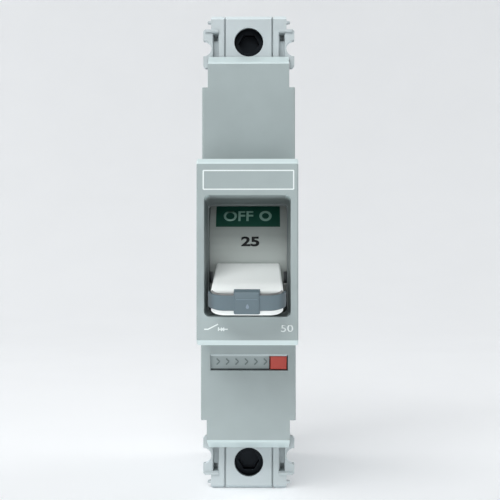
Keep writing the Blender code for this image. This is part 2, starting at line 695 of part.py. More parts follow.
def build_base():
    """Deep base with a raised block at each end, which carries the flange with its ears."""
    outline = four_ways([
        (half_width, waist_z), (waist_half, waist_z), (waist_half, shoulder_end),
        (block_half, shoulder_end), (block_half, half_height - TIP_CHAMFER),
        (block_half - TIP_CHAMFER, half_height),
    ])
    base = prism("case_base", outline, "depth", 0.0, PLATFORM_DEPTH)
    finish(base, "pale_moulding")
    rim = SPLIT_DEPTH + OVERRUN
    outside = half_width + OVERRUN
    cut(base, boxes("base_cover_seat", [
        ((-outside, outside), (SPLIT_DEPTH, PLATFORM_DEPTH + OVERRUN), (-block_start, block_start)),
    ]))
    for sign, end_name in ((1, "line"), (-1, "load")):
        fuse(base, prism(f"base_{end_name}_flange", flange_outline(sign), "depth",
                         PLATFORM_DEPTH - FLANGE_THICKNESS, PLATFORM_DEPTH))
    cut(base, boxes("base_cavity", [
        ((-inner_half, inner_half), (FLOOR, rim), (-cavity_half, cavity_half)),
    ]))
    channel_half = STRAP_HALF_WIDTH + GAP
    cut(base, boxes("base_strap_channels", [
        ((-channel_half, channel_half), (strap_bottom - GAP, rim), z_range)
        for z_range in upper_and_lower(cavity_half - OVERRUN, pocket_start + WELD)
    ]))
    cut(base, boxes("base_terminal_pockets", [
        ((-POCKET_HALF_WIDTH, POCKET_HALF_WIDTH), (FLOOR, shroud_underside - GAP), z_range)
        for z_range in upper_and_lower(pocket_start, pocket_end)
    ]))
    half = SHROUD_HALF_WIDTH + SHROUD_FIT
    rebate = half + SHROUD_LAP
    opening = [
        (rebate, apron_bottom - GAP), (rebate, lap_top + GAP), (half, lap_top + GAP),
        (half, PLATFORM_DEPTH - GROOVE_EDGE), (half + GROOVE_EDGE, PLATFORM_DEPTH),
        (half + GROOVE_EDGE, PLATFORM_DEPTH + OVERRUN),
    ]
    opening += [(-x, depth) for x, depth in reversed(opening)]
    for z_range in upper_and_lower(shoulder_end, half_height + OVERRUN):
        cut(base, prism("base_shroud_opening", opening, "z", *z_range))
    cut_end_edges(base)
    cut_terminal_slots(base)
    cut(base, boxes("base_cable_entries", [
        ((-ENTRY_HALF_WIDTH, ENTRY_HALF_WIDTH), (ENTRY_BOTTOM, strap_bottom - GAP), z_range)
        for z_range in upper_and_lower(pocket_end - OVERRUN, half_height + OVERRUN)
    ]))
    places = [(x, z) for x in (-CASE_SCREW_X, CASE_SCREW_X) for z in (-case_screw_z, case_screw_z)]
    bore = CASE_SCREW_RADIUS + GAP
    cut(base, prisms("base_screw_bores", [circle(x, z, bore, PIN_SIDES) for x, z in places],
                     "depth", -OVERRUN, rim))
    head_bore = CASE_SCREW_HEAD_RADIUS + GAP
    cut(base, prisms("base_screw_sinks", [circle(x, z, head_bore, PIN_SIDES) for x, z in places],
                     "depth", -OVERRUN, CASE_SCREW_SINK + CASE_SCREW_HEAD_THICKNESS + GAP))
    seat_start = LINE_STRAP_INNER_END + OVERRUN
    strap_underside = LINE_STRAP_FLOOR_DEPTH - STRAP_THICKNESS / 2
    fuse(base, boxes("base_strap_seat", [
        ((-STRAP_HALF_WIDTH, STRAP_HALF_WIDTH), (FLOOR - WELD, strap_underside - GAP),
         (seat_start, cavity_half + WELD)),
    ]))
    saddle_z = (TRIP_PIVOT[0] - SADDLE_HALF_LENGTH, TRIP_PIVOT[0] + SADDLE_HALF_LENGTH)
    post_z = (
        armature_pivot[0] - SADDLE_HALF_LENGTH / 2,
        armature_pivot[0] + SADDLE_HALF_LENGTH / 2,
    )
    ribs = []
    for side in (-1, 1):
        saddle_x = (side * (saddle_half + GAP), side * (inner_half + WELD))
        post_x = (side * POST_INNER, side * (inner_half + WELD))
        ribs.append((saddle_x, (FLOOR - WELD, TRIP_PIVOT[1]), saddle_z))
        ribs.append((post_x, (FLOOR - WELD, ARMATURE_PIVOT_DEPTH - 2 * GAP - WELD), post_z))
    fuse(base, boxes("base_ribs", ribs))
    groove = circle(TRIP_PIVOT[0], TRIP_PIVOT[1], TRIP_JOURNAL_RADIUS + GAP, PIN_SIDES)
    cut(base, prism("base_journal_grooves", groove, "x", -inner_half, inner_half))


def build_cover():
    """Cover between the end blocks, with the shoulders, the nose and the toggle's opening."""
    outline = four_ways([(half_width, waist_z), (waist_half, waist_z), (waist_half, shoulder_end)])
    cover = prism("case_cover", outline, "depth", SPLIT_DEPTH, PLATFORM_DEPTH)
    finish(cover, "grey_moulding")
    fuse(cover, cover_front())
    cut(cover, cover_cavity())
    tongue_half = STRAP_HALF_WIDTH
    fuse(cover, boxes("cover_tongues", [
        ((-tongue_half, tongue_half), (strap_top + GAP, SPLIT_DEPTH + WELD), z_range)
        for z_range in upper_and_lower(cavity_half + GAP, pocket_start - GAP)
    ]))
    places = [(x, z) for x in (-CASE_SCREW_X, CASE_SCREW_X) for z in (-case_screw_z, case_screw_z)]
    bore = CASE_SCREW_RADIUS + GAP
    cut(cover, prisms("cover_screw_bores", [circle(x, z, bore, PIN_SIDES) for x, z in places],
                      "depth", SPLIT_DEPTH - OVERRUN, CASE_SCREW_TIP_DEPTH + GAP))
    cut_well(cover)
    cut_trip_strip(cover)
    keeper_z = (TRIP_PIVOT[0] - SADDLE_HALF_LENGTH, TOGGLE_PIVOT_Z - SHIELD_RADIUS - GAP)
    keeper_depth = TRIP_PIVOT[1] + TRIP_JOURNAL_RADIUS + GAP
    keeper_top = LOWER_SHOULDER_DEPTH - FRONT_WALL + WELD
    fuse(cover, boxes("cover_keepers", [
        ((side * (saddle_half + GAP), side * (inner_half + WELD)), (SPLIT_DEPTH, keeper_top), keeper_z)
        for side in (-1, 1)
    ]))
    fuse(cover, boxes("cover_keeper_tips", [
        ((side * (saddle_half + GAP), side * (inner_half - GAP)),
         (keeper_depth, SPLIT_DEPTH + WELD), keeper_z)
        for side in (-1, 1)
    ]))


def cover_front():
    """Shoulders and nose as one profile across the width, with chamfered side edges."""
    root = PLATFORM_DEPTH - OVERRUN
    profile = [
        *sloped_shoulder(-1, LOWER_SLOPE_RUN, LOWER_SHOULDER_DEPTH),
        (-half_nose, LOWER_SHOULDER_DEPTH),
        *softened(-half_nose, NOSE_DEPTH, NOSE_EDGE),
        *reversed(softened(half_nose, NOSE_DEPTH, NOSE_EDGE)),
        (half_nose, UPPER_SHOULDER_DEPTH),
        *reversed(sloped_shoulder(1, UPPER_SLOPE_RUN, UPPER_SHOULDER_DEPTH)),
    ]
    front = prism("cover_front", profile, "x", -half_width, half_width)
    bm = bmesh.new()
    bm.from_mesh(front.data)
    edges = []
    for edge in bm.edges:
        on_side = all(abs(abs(vert.co.x) - half_width) < GAP for vert in edge.verts)
        lengthwise = edge.verts[0].co.x * edge.verts[1].co.x > 0
        raised = any(-vert.co.y > root + WELD for vert in edge.verts)
        if on_side and lengthwise and raised:
            edges.append(edge)
    bmesh.ops.bevel(bm, geom=edges, offset=SIDE_EDGE_CHAMFER, segments=1, affect="EDGES")
    bm.to_mesh(front.data)
    bm.free()
    outside = half_width + OVERRUN
    cut(front, boxes("cover_front_waist", [
        ((side * waist_half, side * outside), (root - OVERRUN, NOSE_DEPTH), z_range)
        for side in (-1, 1)
        for z_range in upper_and_lower(waist_z, lip_z + OVERRUN)
    ]))
    return front


def cover_cavity():
    nose_inside = half_nose - FRONT_WALL
    under_ledge = LEDGE_DEPTH - LEDGE_THICKNESS
    profile = [
        (cavity_half, SPLIT_DEPTH - OVERRUN),
        (cavity_half, UPPER_SHOULDER_DEPTH - FRONT_WALL),
        (nose_inside, UPPER_SHOULDER_DEPTH - FRONT_WALL),
        (nose_inside, NOSE_DEPTH - FRONT_WALL),
        (WELL_TOP + WELL_WALL, NOSE_DEPTH - FRONT_WALL),
        (WELL_TOP + WELL_WALL, under_ledge),
        (WELL_BOTTOM - WELL_WALL, under_ledge),
        (WELL_BOTTOM - WELL_WALL, NOSE_DEPTH - FRONT_WALL),
        (-nose_inside, NOSE_DEPTH - FRONT_WALL),
        (-nose_inside, LOWER_SHOULDER_DEPTH - FRONT_WALL),
        (-cavity_half, LOWER_SHOULDER_DEPTH - FRONT_WALL),
        (-cavity_half, SPLIT_DEPTH - OVERRUN),
    ]
    return prism("cover_cavity", profile, "x", -inner_half, inner_half)


def cut_well(cover):
    """Drafted toggle opening, with a narrower throat below its ledge."""
    rise = (NOSE_DEPTH + OVERRUN - LEDGE_DEPTH) / (NOSE_DEPTH - LEDGE_DEPTH)
    wide = WELL_HALF_WIDTH + WELL_DRAFT * (rise - 1)
    high = WELL_TOP + WELL_TOP_DRAFT * (rise - 1)
    narrow = WELL_HALF_WIDTH - WELL_DRAFT
    low = WELL_TOP - WELL_TOP_DRAFT
    floor_outline = rounded_rectangle(-narrow, narrow, WELL_BOTTOM, low, WELL_CORNER)
    mouth_outline = rounded_rectangle(-wide, wide, WELL_BOTTOM, high, WELL_CORNER)
    cut(cover, prism("cover_well", floor_outline, "depth", LEDGE_DEPTH, NOSE_DEPTH + OVERRUN,
                     top=mouth_outline))
    throat = narrow - THROAT_INSET
    throat_outline = rounded_rectangle(-throat, throat, WELL_BOTTOM + THROAT_INSET,
                                       low - THROAT_INSET, THROAT_CORNER)
    cut(cover, prism("cover_throat", throat_outline, "depth", LEDGE_DEPTH - LEDGE_THICKNESS - OVERRUN,
                     LEDGE_DEPTH + OVERRUN))


def cut_trip_strip(cover):
    """Shallow recess with a sloped upper edge, the button's hole and the shelf below it."""
    surface = LOWER_SHOULDER_DEPTH
    recess = [
        (STRIP_BOTTOM, surface - STRIP_RECESS),
        (STRIP_TOP - STRIP_SLOPE, surface - STRIP_RECESS),
        (STRIP_TOP, surface),
        (STRIP_TOP, surface + OVERRUN),
        (STRIP_BOTTOM, surface + OVERRUN),
    ]
    cut(cover, prism("cover_strip", recess, "x", STRIP_LEFT, strip_right))
    bottom = BUTTON_TOP - BUTTON_HEIGHT
    cut(cover, boxes("cover_button_hole", [
        ((BUTTON_LEFT - GAP, strip_right), (surface - FRONT_WALL - OVERRUN, surface),
         (bottom - GAP, BUTTON_TOP + GAP)),
    ]))
    shelf_depths = (BUTTON_SHELF_DEPTH - BUTTON_SHELF_THICKNESS, BUTTON_SHELF_DEPTH)
    fuse(cover, boxes("cover_button_shelf", [
        ((BUTTON_LEFT, inner_half + WELD), shelf_depths, (bottom - GAP, BUTTON_TOP + GAP)),
    ]))
    guide = circle(button_x, button_z, BUTTON_STEM_RADIUS + GAP, PIN_SIDES)
    cut(cover, prism("cover_stem_guide", guide, "depth", shelf_depths[0] - OVERRUN,
                     shelf_depths[1] + OVERRUN))


def cut_terminal_slots(base):
    """Slots beside each shroud, each with a deep narrow end, and the rims past them."""
    sides = [(side * SLOT_INNER, side * SLOT_OUTER) for side in (-1, 1)]
    deep_sides = [
        (side * (POCKET_HALF_WIDTH + SLOT_POCKET_WALL), side * (block_half - SLOT_OUTER_WALL))
        for side in (-1, 1)
    ]
    stop = half_height - SLOT_STOP_FROM_END
    cut(base, boxes("base_slots", [
        (x_range, (PLATFORM_DEPTH - SLOT_RECESS, PLATFORM_DEPTH + OVERRUN), z_range)
        for x_range in sides
        for z_range in upper_and_lower(shoulder_end, stop)
    ]))
    cut(base, boxes("base_slot_ends", [
        (x_range, (PLATFORM_DEPTH - SLOT_DEEP_RECESS, PLATFORM_DEPTH), z_range)
        for x_range in deep_sides
        for z_range in upper_and_lower(half_height - SLOT_DEEP_FROM_END, stop)
    ]))
    rim_z = (half_height - RIM_START_FROM_END, half_height - RIM_STOP_FROM_END)
    fuse(base, boxes("base_rims", [
        ((side * SLOT_INNER, side * (half_width - EAR_CHAMFER)),
         (PLATFORM_DEPTH - WELD, PLATFORM_DEPTH + RIM_HEIGHT), z_range)
        for side in (-1, 1)
        for z_range in upper_and_lower(*rim_z)
    ]))


def build_shroud(name, sign):
    """Terminal shroud: a plate flush with the platform, hooked below it and folded over the end."""
    start = shoulder_end + WELD + GAP
    plate = [
        (lap_half, shroud_underside), (lap_half, lap_top), (SHROUD_HALF_WIDTH, lap_top),
        (SHROUD_HALF_WIDTH, PLATFORM_DEPTH - GROOVE_EDGE), (SHROUD_HALF_WIDTH - GROOVE_EDGE, PLATFORM_DEPTH),
    ]
    plate += [(-x, depth) for x, depth in reversed(plate)]
    shroud = prism(name, plate, "z", sign * start, sign * half_height)
    finish(shroud, "pale_moulding")
    fuse(shroud, boxes(name + "_apron", [
        ((-lap_half, lap_half), (apron_bottom, shroud_underside + WELD),
         (sign * (half_height - SHROUD_APRON), sign * half_height)),
    ]))
    cut_end_edges(shroud)
    hook_top = shroud_underside - 2 * GAP
    hook_bottom = hook_top - SHROUD_RAIL
    inner = SHROUD_HALF_WIDTH - SHROUD_RAIL_INSET
    outer = POCKET_HALF_WIDTH - GAP
    hooks = [
        [(side * inner, shroud_underside + WELD), (side * SHROUD_HALF_WIDTH, shroud_underside + WELD),
         (side * SHROUD_HALF_WIDTH, hook_top), (side * outer, hook_top),
         (side * outer, hook_bottom), (side * inner, hook_bottom)]
        for side in (-1, 1)
    ]
    fuse(shroud, prisms(name + "_hooks", hooks, "z", sign * (start + OVERRUN),
                        sign * (pocket_end - OVERRUN)))
    hole = circle(0.0, sign * terminal_z, TOOL_HOLE_RADIUS)
    cut(shroud, prism(name + "_hole", hole, "depth", shroud_underside - OVERRUN, PLATFORM_DEPTH + OVERRUN))


def build_case_screws():
    places = [(x, z) for z in (case_screw_z, -case_screw_z) for x in (-CASE_SCREW_X, CASE_SCREW_X)]
    neck = CASE_SCREW_SINK + CASE_SCREW_HEAD_THICKNESS
    for number, (x, z) in enumerate(places, 1):
        name = f"cover_screw_{number}"
        head = circle(x, z, CASE_SCREW_HEAD_RADIUS, PIN_SIDES)
        screw = prism(name, head, "depth", CASE_SCREW_SINK, neck)
        finish(screw, "plated_steel")
        shank = circle(x, z, CASE_SCREW_RADIUS, PIN_SIDES)
        fuse(screw, prism(name + "_shank", shank, "depth", neck - WELD, CASE_SCREW_TIP_DEPTH))
        socket = circle(x, z, CASE_SCREW_SOCKET_RADIUS, 6)
        cut(screw, prism(name + "_socket", socket, "depth", CASE_SCREW_SINK - OVERRUN,
                         CASE_SCREW_SINK + CASE_SCREW_HEAD_THICKNESS / 2))


def build_terminal(side_name, sign):
    """Rising cage clamp and its captive screw, which turns without moving along its axis."""
    z_range = (sign * (terminal_z - CAGE_LENGTH / 2), sign * (terminal_z + CAGE_LENGTH / 2))
    floor = cage_ceiling - CAGE_OPENING
    cage_axis = pivot(side_name + "_cage_axis", sign * terminal_z, 0.0, 0.0)
    local = (z_range[0] - sign * terminal_z, z_range[1] - sign * terminal_z)
    cage = boxes(side_name + "_cage", [
        ((-CAGE_HALF_WIDTH, CAGE_HALF_WIDTH), (floor - CAGE_WALL, cage_ceiling + CAGE_ROOF), local),
    ], cage_axis)
    finish(cage, "plated_steel")
    inside = CAGE_HALF_WIDTH - CAGE_WALL
    through = (min(local) - OVERRUN, max(local) + OVERRUN)
    cut(cage, boxes(side_name + "_cage_opening", [
        ((-inside, inside), (floor, cage_ceiling), through),
    ], cage_axis))
    thread = circle(0.0, 0.0, SCREW_RADIUS + GAP)
    cut(cage, prism(side_name + "_cage_thread", thread, "depth", cage_ceiling - OVERRUN,
                    cage_ceiling + CAGE_ROOF + OVERRUN, cage_axis))
    screw_axis = pivot(side_name + "_screw_axis", sign * terminal_z, 0.0, 0.0)
    neck = SCREW_HEAD_DEPTH - SCREW_HEAD_THICKNESS
    head = circle(0.0, 0.0, SCREW_HEAD_RADIUS)
    screw = prism(side_name + "_screw", head, "depth", neck, SCREW_HEAD_DEPTH, screw_axis)
    finish(screw, "steel")
    shank = circle(0.0, 0.0, SCREW_RADIUS)
    fuse(screw, prism(side_name + "_screw_shank", shank, "depth", cage_ceiling, neck + WELD, screw_axis))
    socket = circle(0.0, 0.0, SCREW_SOCKET_RADIUS, 6)
    cut(screw, prism(side_name + "_screw_socket", socket, "depth", SCREW_HEAD_DEPTH - SCREW_SOCKET_DEPTH,
                     SCREW_HEAD_DEPTH + OVERRUN, screw_axis))


def lever_outline(offset, root):
    """Plan outline of the lever as (x, radius from the toggle's pivot), grown by an offset."""
    wide = LEVER_TIP_HALF_WIDTH + offset
    narrow = LEVER_ROOT_HALF_WIDTH + offset
    corner = LEVER_CORNER + offset
    tip = LEVER_TIP_RADIUS + offset
    right = [(narrow, root), *arc(wide - corner, tip - corner, corner, 0, 90, 2 * CORNER_STEPS)]
    return right + [(-x, radius) for x, radius in reversed(right)]


def lever_half(radius):
    """Half of the lever's thickness at a radius."""
    root = SHIELD_RADIUS + GAP
    share = (radius - root) / (LEVER_TIP_RADIUS - root)
    return LEVER_ROOT_HALF + (LEVER_TIP_HALF - LEVER_ROOT_HALF) * share


def build_toggle(axis):
    root = SHIELD_RADIUS + GAP
    lever = prism("toggle_lever", lever_outline(0.0, root), "z", -1.0, 1.0, axis)
    for vertex in lever.data.vertices:
        vertex.co.z *= lever_half(-vertex.co.y)
    bm = bmesh.new()
    bm.from_mesh(lever.data)
    edges = [
        edge for edge in bm.edges
        if edge.verts[0].co.z * edge.verts[1].co.z > 0
        and max(-vert.co.y for vert in edge.verts) > root + WELD
    ]
    bmesh.ops.bevel(bm, geom=edges, offset=LEVER_EDGE, segments=2, profile=0.5, affect="EDGES")
    bm.to_mesh(lever.data)
    bm.free()
    lever.data.shade_smooth()
    lever.data.set_sharp_from_angle(angle=math.radians(35))
    finish(lever, "white_moulding")
    fuse(lever, boxes("lever_neck", [
        ((-LEVER_NECK_HALF_WIDTH, LEVER_NECK_HALF_WIDTH), (YOKE_TOP_RADIUS + GAP, root + OVERRUN),
         (-LEVER_NECK_HALF, LEVER_NECK_HALF)),
    ], axis))
    build_band(axis)
    build_shield(axis)
    build_yoke(axis)


def build_band(axis):
    """Grip band round the lever's tip, with a tab that folds over the top face."""
    start = LEVER_TIP_RADIUS - BAND_LENGTH
    outer = BAND_FIT + BAND_THICKNESS
    band = prism("toggle_band", lever_outline(outer, start), "z", BAND_BOTTOM, BAND_TOP, axis)
    finish(band, "dark_moulding")
    tab_front = LEVER_TIP_RADIUS + outer + TAB_PROUD
    tab_top = lever_half(LEVER_TIP_RADIUS - TAB_LENGTH) + BAND_FIT + TAB_THICKNESS
    tab_back = LEVER_TIP_RADIUS - TAB_LENGTH
    tab = prism("band_tab", [
        (TAB_BOTTOM, tab_back), (TAB_BOTTOM, tab_front - TAB_EDGE), (TAB_BOTTOM + TAB_EDGE, tab_front),
        (tab_top - TAB_SLOPE_HEIGHT, tab_front), (tab_top, tab_front - TAB_SLOPE_DEPTH),
        (tab_top, tab_back),
    ], "x", -TAB_HALF_WIDTH, TAB_HALF_WIDTH, axis)
    bm = bmesh.new()
    bm.from_mesh(tab.data)
    side_edges = [
        edge for edge in bm.edges
        if edge.verts[0].co.x * edge.verts[1].co.x > 0
        and min(-vert.co.y for vert in edge.verts) > tab_back + WELD
    ]
    bmesh.ops.bevel(bm, geom=side_edges, offset=TAB_EDGE, segments=1, affect="EDGES")
    bm.to_mesh(tab.data)
    bm.free()
    fuse(band, tab)
    bore = prism("band_bore", lever_outline(BAND_FIT, start - OVERRUN), "z", -1.0, 1.0, axis)
    for vertex in bore.data.vertices:
        vertex.co.z *= lever_half(-vertex.co.y) + BAND_FIT
    cut(band, bore)


def build_shield(axis):
    """Curved shield that covers the opening at every position of the lever."""
    inner_radius = SHIELD_RADIUS - SHIELD_THICKNESS
    start = 90 - SHIELD_HALF_ANGLE
    end = 90 + SHIELD_HALF_ANGLE
    outline = (
        arc(0.0, 0.0, SHIELD_RADIUS, start, end, SHIELD_STEPS)
        + arc(0.0, 0.0, inner_radius, end, start, SHIELD_STEPS)
    )
    half = inner_half - GAP
    shield = prism("toggle_shield", outline, "x", -half, half, axis)
    finish(shield, "white_moulding")
    through = (inner_radius * math.cos(math.radians(SHIELD_HALF_ANGLE)), SHIELD_RADIUS + OVERRUN)
    neck = (-LEVER_NECK_HALF - GAP, LEVER_NECK_HALF + GAP)
    slots = [((-LEVER_NECK_HALF_WIDTH - GAP, LEVER_NECK_HALF_WIDTH + GAP), through, neck)]
    for side in (-1, 1):
        slots.append(((side * (half - SHIELD_NOTCH_DEPTH), side * (half + OVERRUN)), through,
                      (SHIELD_NOTCH_BOTTOM, SHIELD_NOTCH_TOP)))
    cut(shield, boxes("shield_slots", slots, axis))


def build_yoke(axis):
    """Steel yoke: two legs on the frame's stubs, joined under the shield."""
    beam = YOKE_TOP_RADIUS - YOKE_TOP_THICKNESS
    outline = [
        (-yoke_outer, 0.0), (-yoke_inner, 0.0), (-yoke_inner, beam), (yoke_inner, beam),
        (yoke_inner, 0.0), (yoke_outer, 0.0), (yoke_outer, YOKE_TOP_RADIUS), (-yoke_outer, YOKE_TOP_RADIUS),
    ]
    yoke = prism("handle_yoke", outline, "z", -YOKE_HALF_LENGTH, YOKE_HALF_LENGTH, axis)
    finish(yoke, "steel")
    for side, side_name in ((-1, "left"), (1, "right")):
        eye = circle(0.0, 0.0, YOKE_EYE_RADIUS, PIN_SIDES)
        fuse(yoke, prism(f"yoke_eye_{side_name}", eye, "x", side * (yoke_inner + WELD),
                         side * (yoke_outer - WELD), axis))
    bore = circle(0.0, 0.0, STUB_RADIUS + GAP, PIN_SIDES)
    cut(yoke, prism("yoke_bore", bore, "x", -half_width, half_width, axis))


def build_frame():
    """Two steel plates that carry every pivot of the mechanism, tied by two spacers."""
    outline = [
        (FRAME_LOWER_END, FLOOR + GAP),
        (FRAME_LOWER_END + FRAME_FOOT, FLOOR + GAP),
        (FRAME_LOWER_END + FRAME_FOOT, FRAME_BELLY_DEPTH),
        (FRAME_UPPER_END - FRAME_FOOT, FRAME_BELLY_DEPTH),
        (FRAME_UPPER_END - FRAME_FOOT, FLOOR + GAP),
        (FRAME_UPPER_END, FLOOR + GAP),
        (FRAME_UPPER_END, CRADLE_PIVOT[1] + 2 * CRADLE_PIN_RADIUS),
        (FRAME_SHOULDER_Z, UPPER_SPACER[1] + 3 * SPACER_RADIUS),
        (TOGGLE_PIVOT_Z + YOKE_HALF_LENGTH, FRAME_TOP_DEPTH),
        (TOGGLE_PIVOT_Z - YOKE_HALF_LENGTH, FRAME_TOP_DEPTH),
        (-FRAME_SHOULDER_Z, TOGGLE_PIVOT_DEPTH),
        (FRAME_LOWER_END, LOWER_SPACER[1] + 3 * SPACER_RADIUS),
    ]
    pins = [
        (ARM_PIVOT, ARM_PIN_RADIUS),
        (CRADLE_PIVOT, CRADLE_PIN_RADIUS),
        (UPPER_SPACER, SPACER_RADIUS),
        (LOWER_SPACER, SPACER_RADIUS),
    ]
    for side, side_name in ((-1, "left"), (1, "right")):
        name = f"frame_plate_{side_name}"
        plate = prism(name, outline, "x", side * frame_inner, side * frame_outer)
        finish(plate, "steel")
        bores = [circle(*place, radius + GAP, PIN_SIDES) for place, radius in pins]
        cut(plate, prisms(name + "_bores", bores, "x", -half_width, half_width))
        stub = circle(TOGGLE_PIVOT_Z, TOGGLE_PIVOT_DEPTH, STUB_RADIUS, PIN_SIDES)
        fuse(plate, prism(name + "_stub", stub, "x", side * (frame_inner + WELD), side * yoke_outer))
    rods = [
        ("arm_pivot_pin", ARM_PIVOT, ARM_PIN_RADIUS),
        ("cradle_pin", CRADLE_PIVOT, CRADLE_PIN_RADIUS),
        ("frame_spacer_upper", UPPER_SPACER, SPACER_RADIUS),
        ("frame_spacer_lower", LOWER_SPACER, SPACER_RADIUS),
    ]
    for name, place, radius in rods:
        reach = frame_outer + WELD
        rod = prism(name, circle(*place, radius, PIN_SIDES), "x", -reach, reach)
        finish(rod, "plated_steel")


def build_cradle():
    """Latched lever that holds the upper end of the links and hooks under the trip latch."""
    eye_z, eye_depth = CRADLE_PIVOT
    link_z, link_depth = CRADLE_LINK
    web = CRADLE_EYE_RADIUS
    outline = [
        *arc(eye_z, eye_depth, web, CRADLE_EYE_START, CRADLE_EYE_START - CRADLE_EYE_SWEEP, 6),
        (link_z + web, link_depth - web - WELD),
        (link_z - web, link_depth - web),
        (CRADLE_TAIL_Z, CRADLE_TAIL_DEPTH - CRADLE_TAIL_HEIGHT),
        (CRADLE_TAIL_Z, CRADLE_TAIL_DEPTH),
        (link_z - 3 * web, CRADLE_TAIL_DEPTH + CRADLE_TAIL_HEIGHT / 2),
        (link_z - web, link_depth + web),
        (link_z + web, link_depth + web),
    ]
    cradle = prism("cradle", outline, "x", -cradle_half, cradle_half)
    finish(cradle, "steel")
    bores = [
        circle(eye_z, eye_depth, CRADLE_PIN_RADIUS + GAP, PIN_SIDES),
        circle(link_z, link_depth, SMALL_PIN_RADIUS + GAP, PIN_SIDES),
    ]
    cut(cradle, prisms("cradle_bores", bores, "x", -half_width, half_width))
    reach = upper_link_inner + LINK_THICKNESS + WELD
    pin_outline = circle(link_z, link_depth, SMALL_PIN_RADIUS, PIN_SIDES)
    pin = prism("cradle_link_pin", pin_outline, "x", -reach, reach)
    finish(pin, "plated_steel")


def link_outline(length, radius):
    """Flat link with round ends, from the origin along +Z."""
    return arc(0.0, 0.0, radius, 90, 270, 8) + arc(length, 0.0, radius, -90, 90, 8)


def build_links(upper_axis, lower_axis):
    """Two upper and two lower links; the knee pin runs in short slots of the upper pair."""
    slot = link_outline(KNEE_SLOT, KNEE_PIN_RADIUS + GAP)
    slot = [(z + LINK_LENGTH - KNEE_SLOT, depth) for z, depth in slot]
    pair = link_outline(LINK_LENGTH, LINK_EYE_RADIUS)
    for side, side_name in ((-1, "left"), (1, "right")):
        name = f"upper_link_{side_name}"
        inner, outer = side * upper_link_inner, side * (upper_link_inner + LINK_THICKNESS)
        link = prism(name, pair, "x", inner, outer, upper_axis)
        finish(link, "plated_steel")
        bore = circle(0.0, 0.0, SMALL_PIN_RADIUS + GAP, PIN_SIDES)
        cut(link, prisms(name + "_bores", [bore, slot], "x", -half_width, half_width, upper_axis))
        name = f"lower_link_{side_name}"
        inner, outer = side * lower_link_inner, side * (lower_link_inner + LINK_THICKNESS)
        link = prism(name, pair, "x", inner, outer, lower_axis)
        finish(link, "plated_steel")
        knee = circle(LINK_LENGTH, 0.0, KNEE_PIN_RADIUS + GAP, PIN_SIDES)
        cut(link, prisms(name + "_bores", [bore, knee], "x", -half_width, half_width, lower_axis))
    reach = SPRING_X + SPRING_COIL_RADIUS
    pin_outline = circle(LINK_LENGTH, 0.0, KNEE_PIN_RADIUS, PIN_SIDES)
    pin = prism("knee_pin", pin_outline, "x", -reach, reach, lower_axis)
    finish(pin, "plated_steel")


def build_main_springs(axis, length):
    """Two over-centre springs, from the yoke's beam to the knee pin, along +Z of their pivot."""
    top_ring = SPRING_ANCHOR_RING
    knee_ring = KNEE_PIN_RADIUS + GAP + SPRING_WIRE_RADIUS
    coil_start = top_ring + 2 * SPRING_WIRE_RADIUS
    coil_end = length - knee_ring - 2 * SPRING_WIRE_RADIUS
    for side, side_name in ((-1, "left"), (1, "right")):
        x = side * SPRING_X
        points = [(x, depth, z) for z, depth in arc(0.0, 0.0, top_ring, 290, 0, 8)]
        steps = SPRING_TURNS * COIL_STEPS
        for step in range(steps + 1):
            angle = 2 * math.pi * step / COIL_STEPS
            rise = coil_start + (coil_end - coil_start) * step / steps
            points.append((x + SPRING_COIL_RADIUS * math.cos(angle),
                           SPRING_COIL_RADIUS * math.sin(angle), rise))
        points += [(x, depth, z) for z, depth in arc(length, 0.0, knee_ring, 180, 450, 10)]
        spring = wire(f"main_spring_{side_name}", points, SPRING_WIRE_RADIUS, axis)
        finish(spring, "spring_steel")


def coil(name, start, end, radius, wire_radius, turns, x, z, parent=None):
    """Compression spring along the depth axis."""
    points = []
    steps = turns * COIL_STEPS
    for step in range(steps + 1):
        angle = 2 * math.pi * step / COIL_STEPS
        depth = start + (end - start) * step / steps
        points.append((x + radius * math.cos(angle), depth, z + radius * math.sin(angle)))
    spring = wire(name, points, wire_radius, parent)
    finish(spring, "spring_steel")


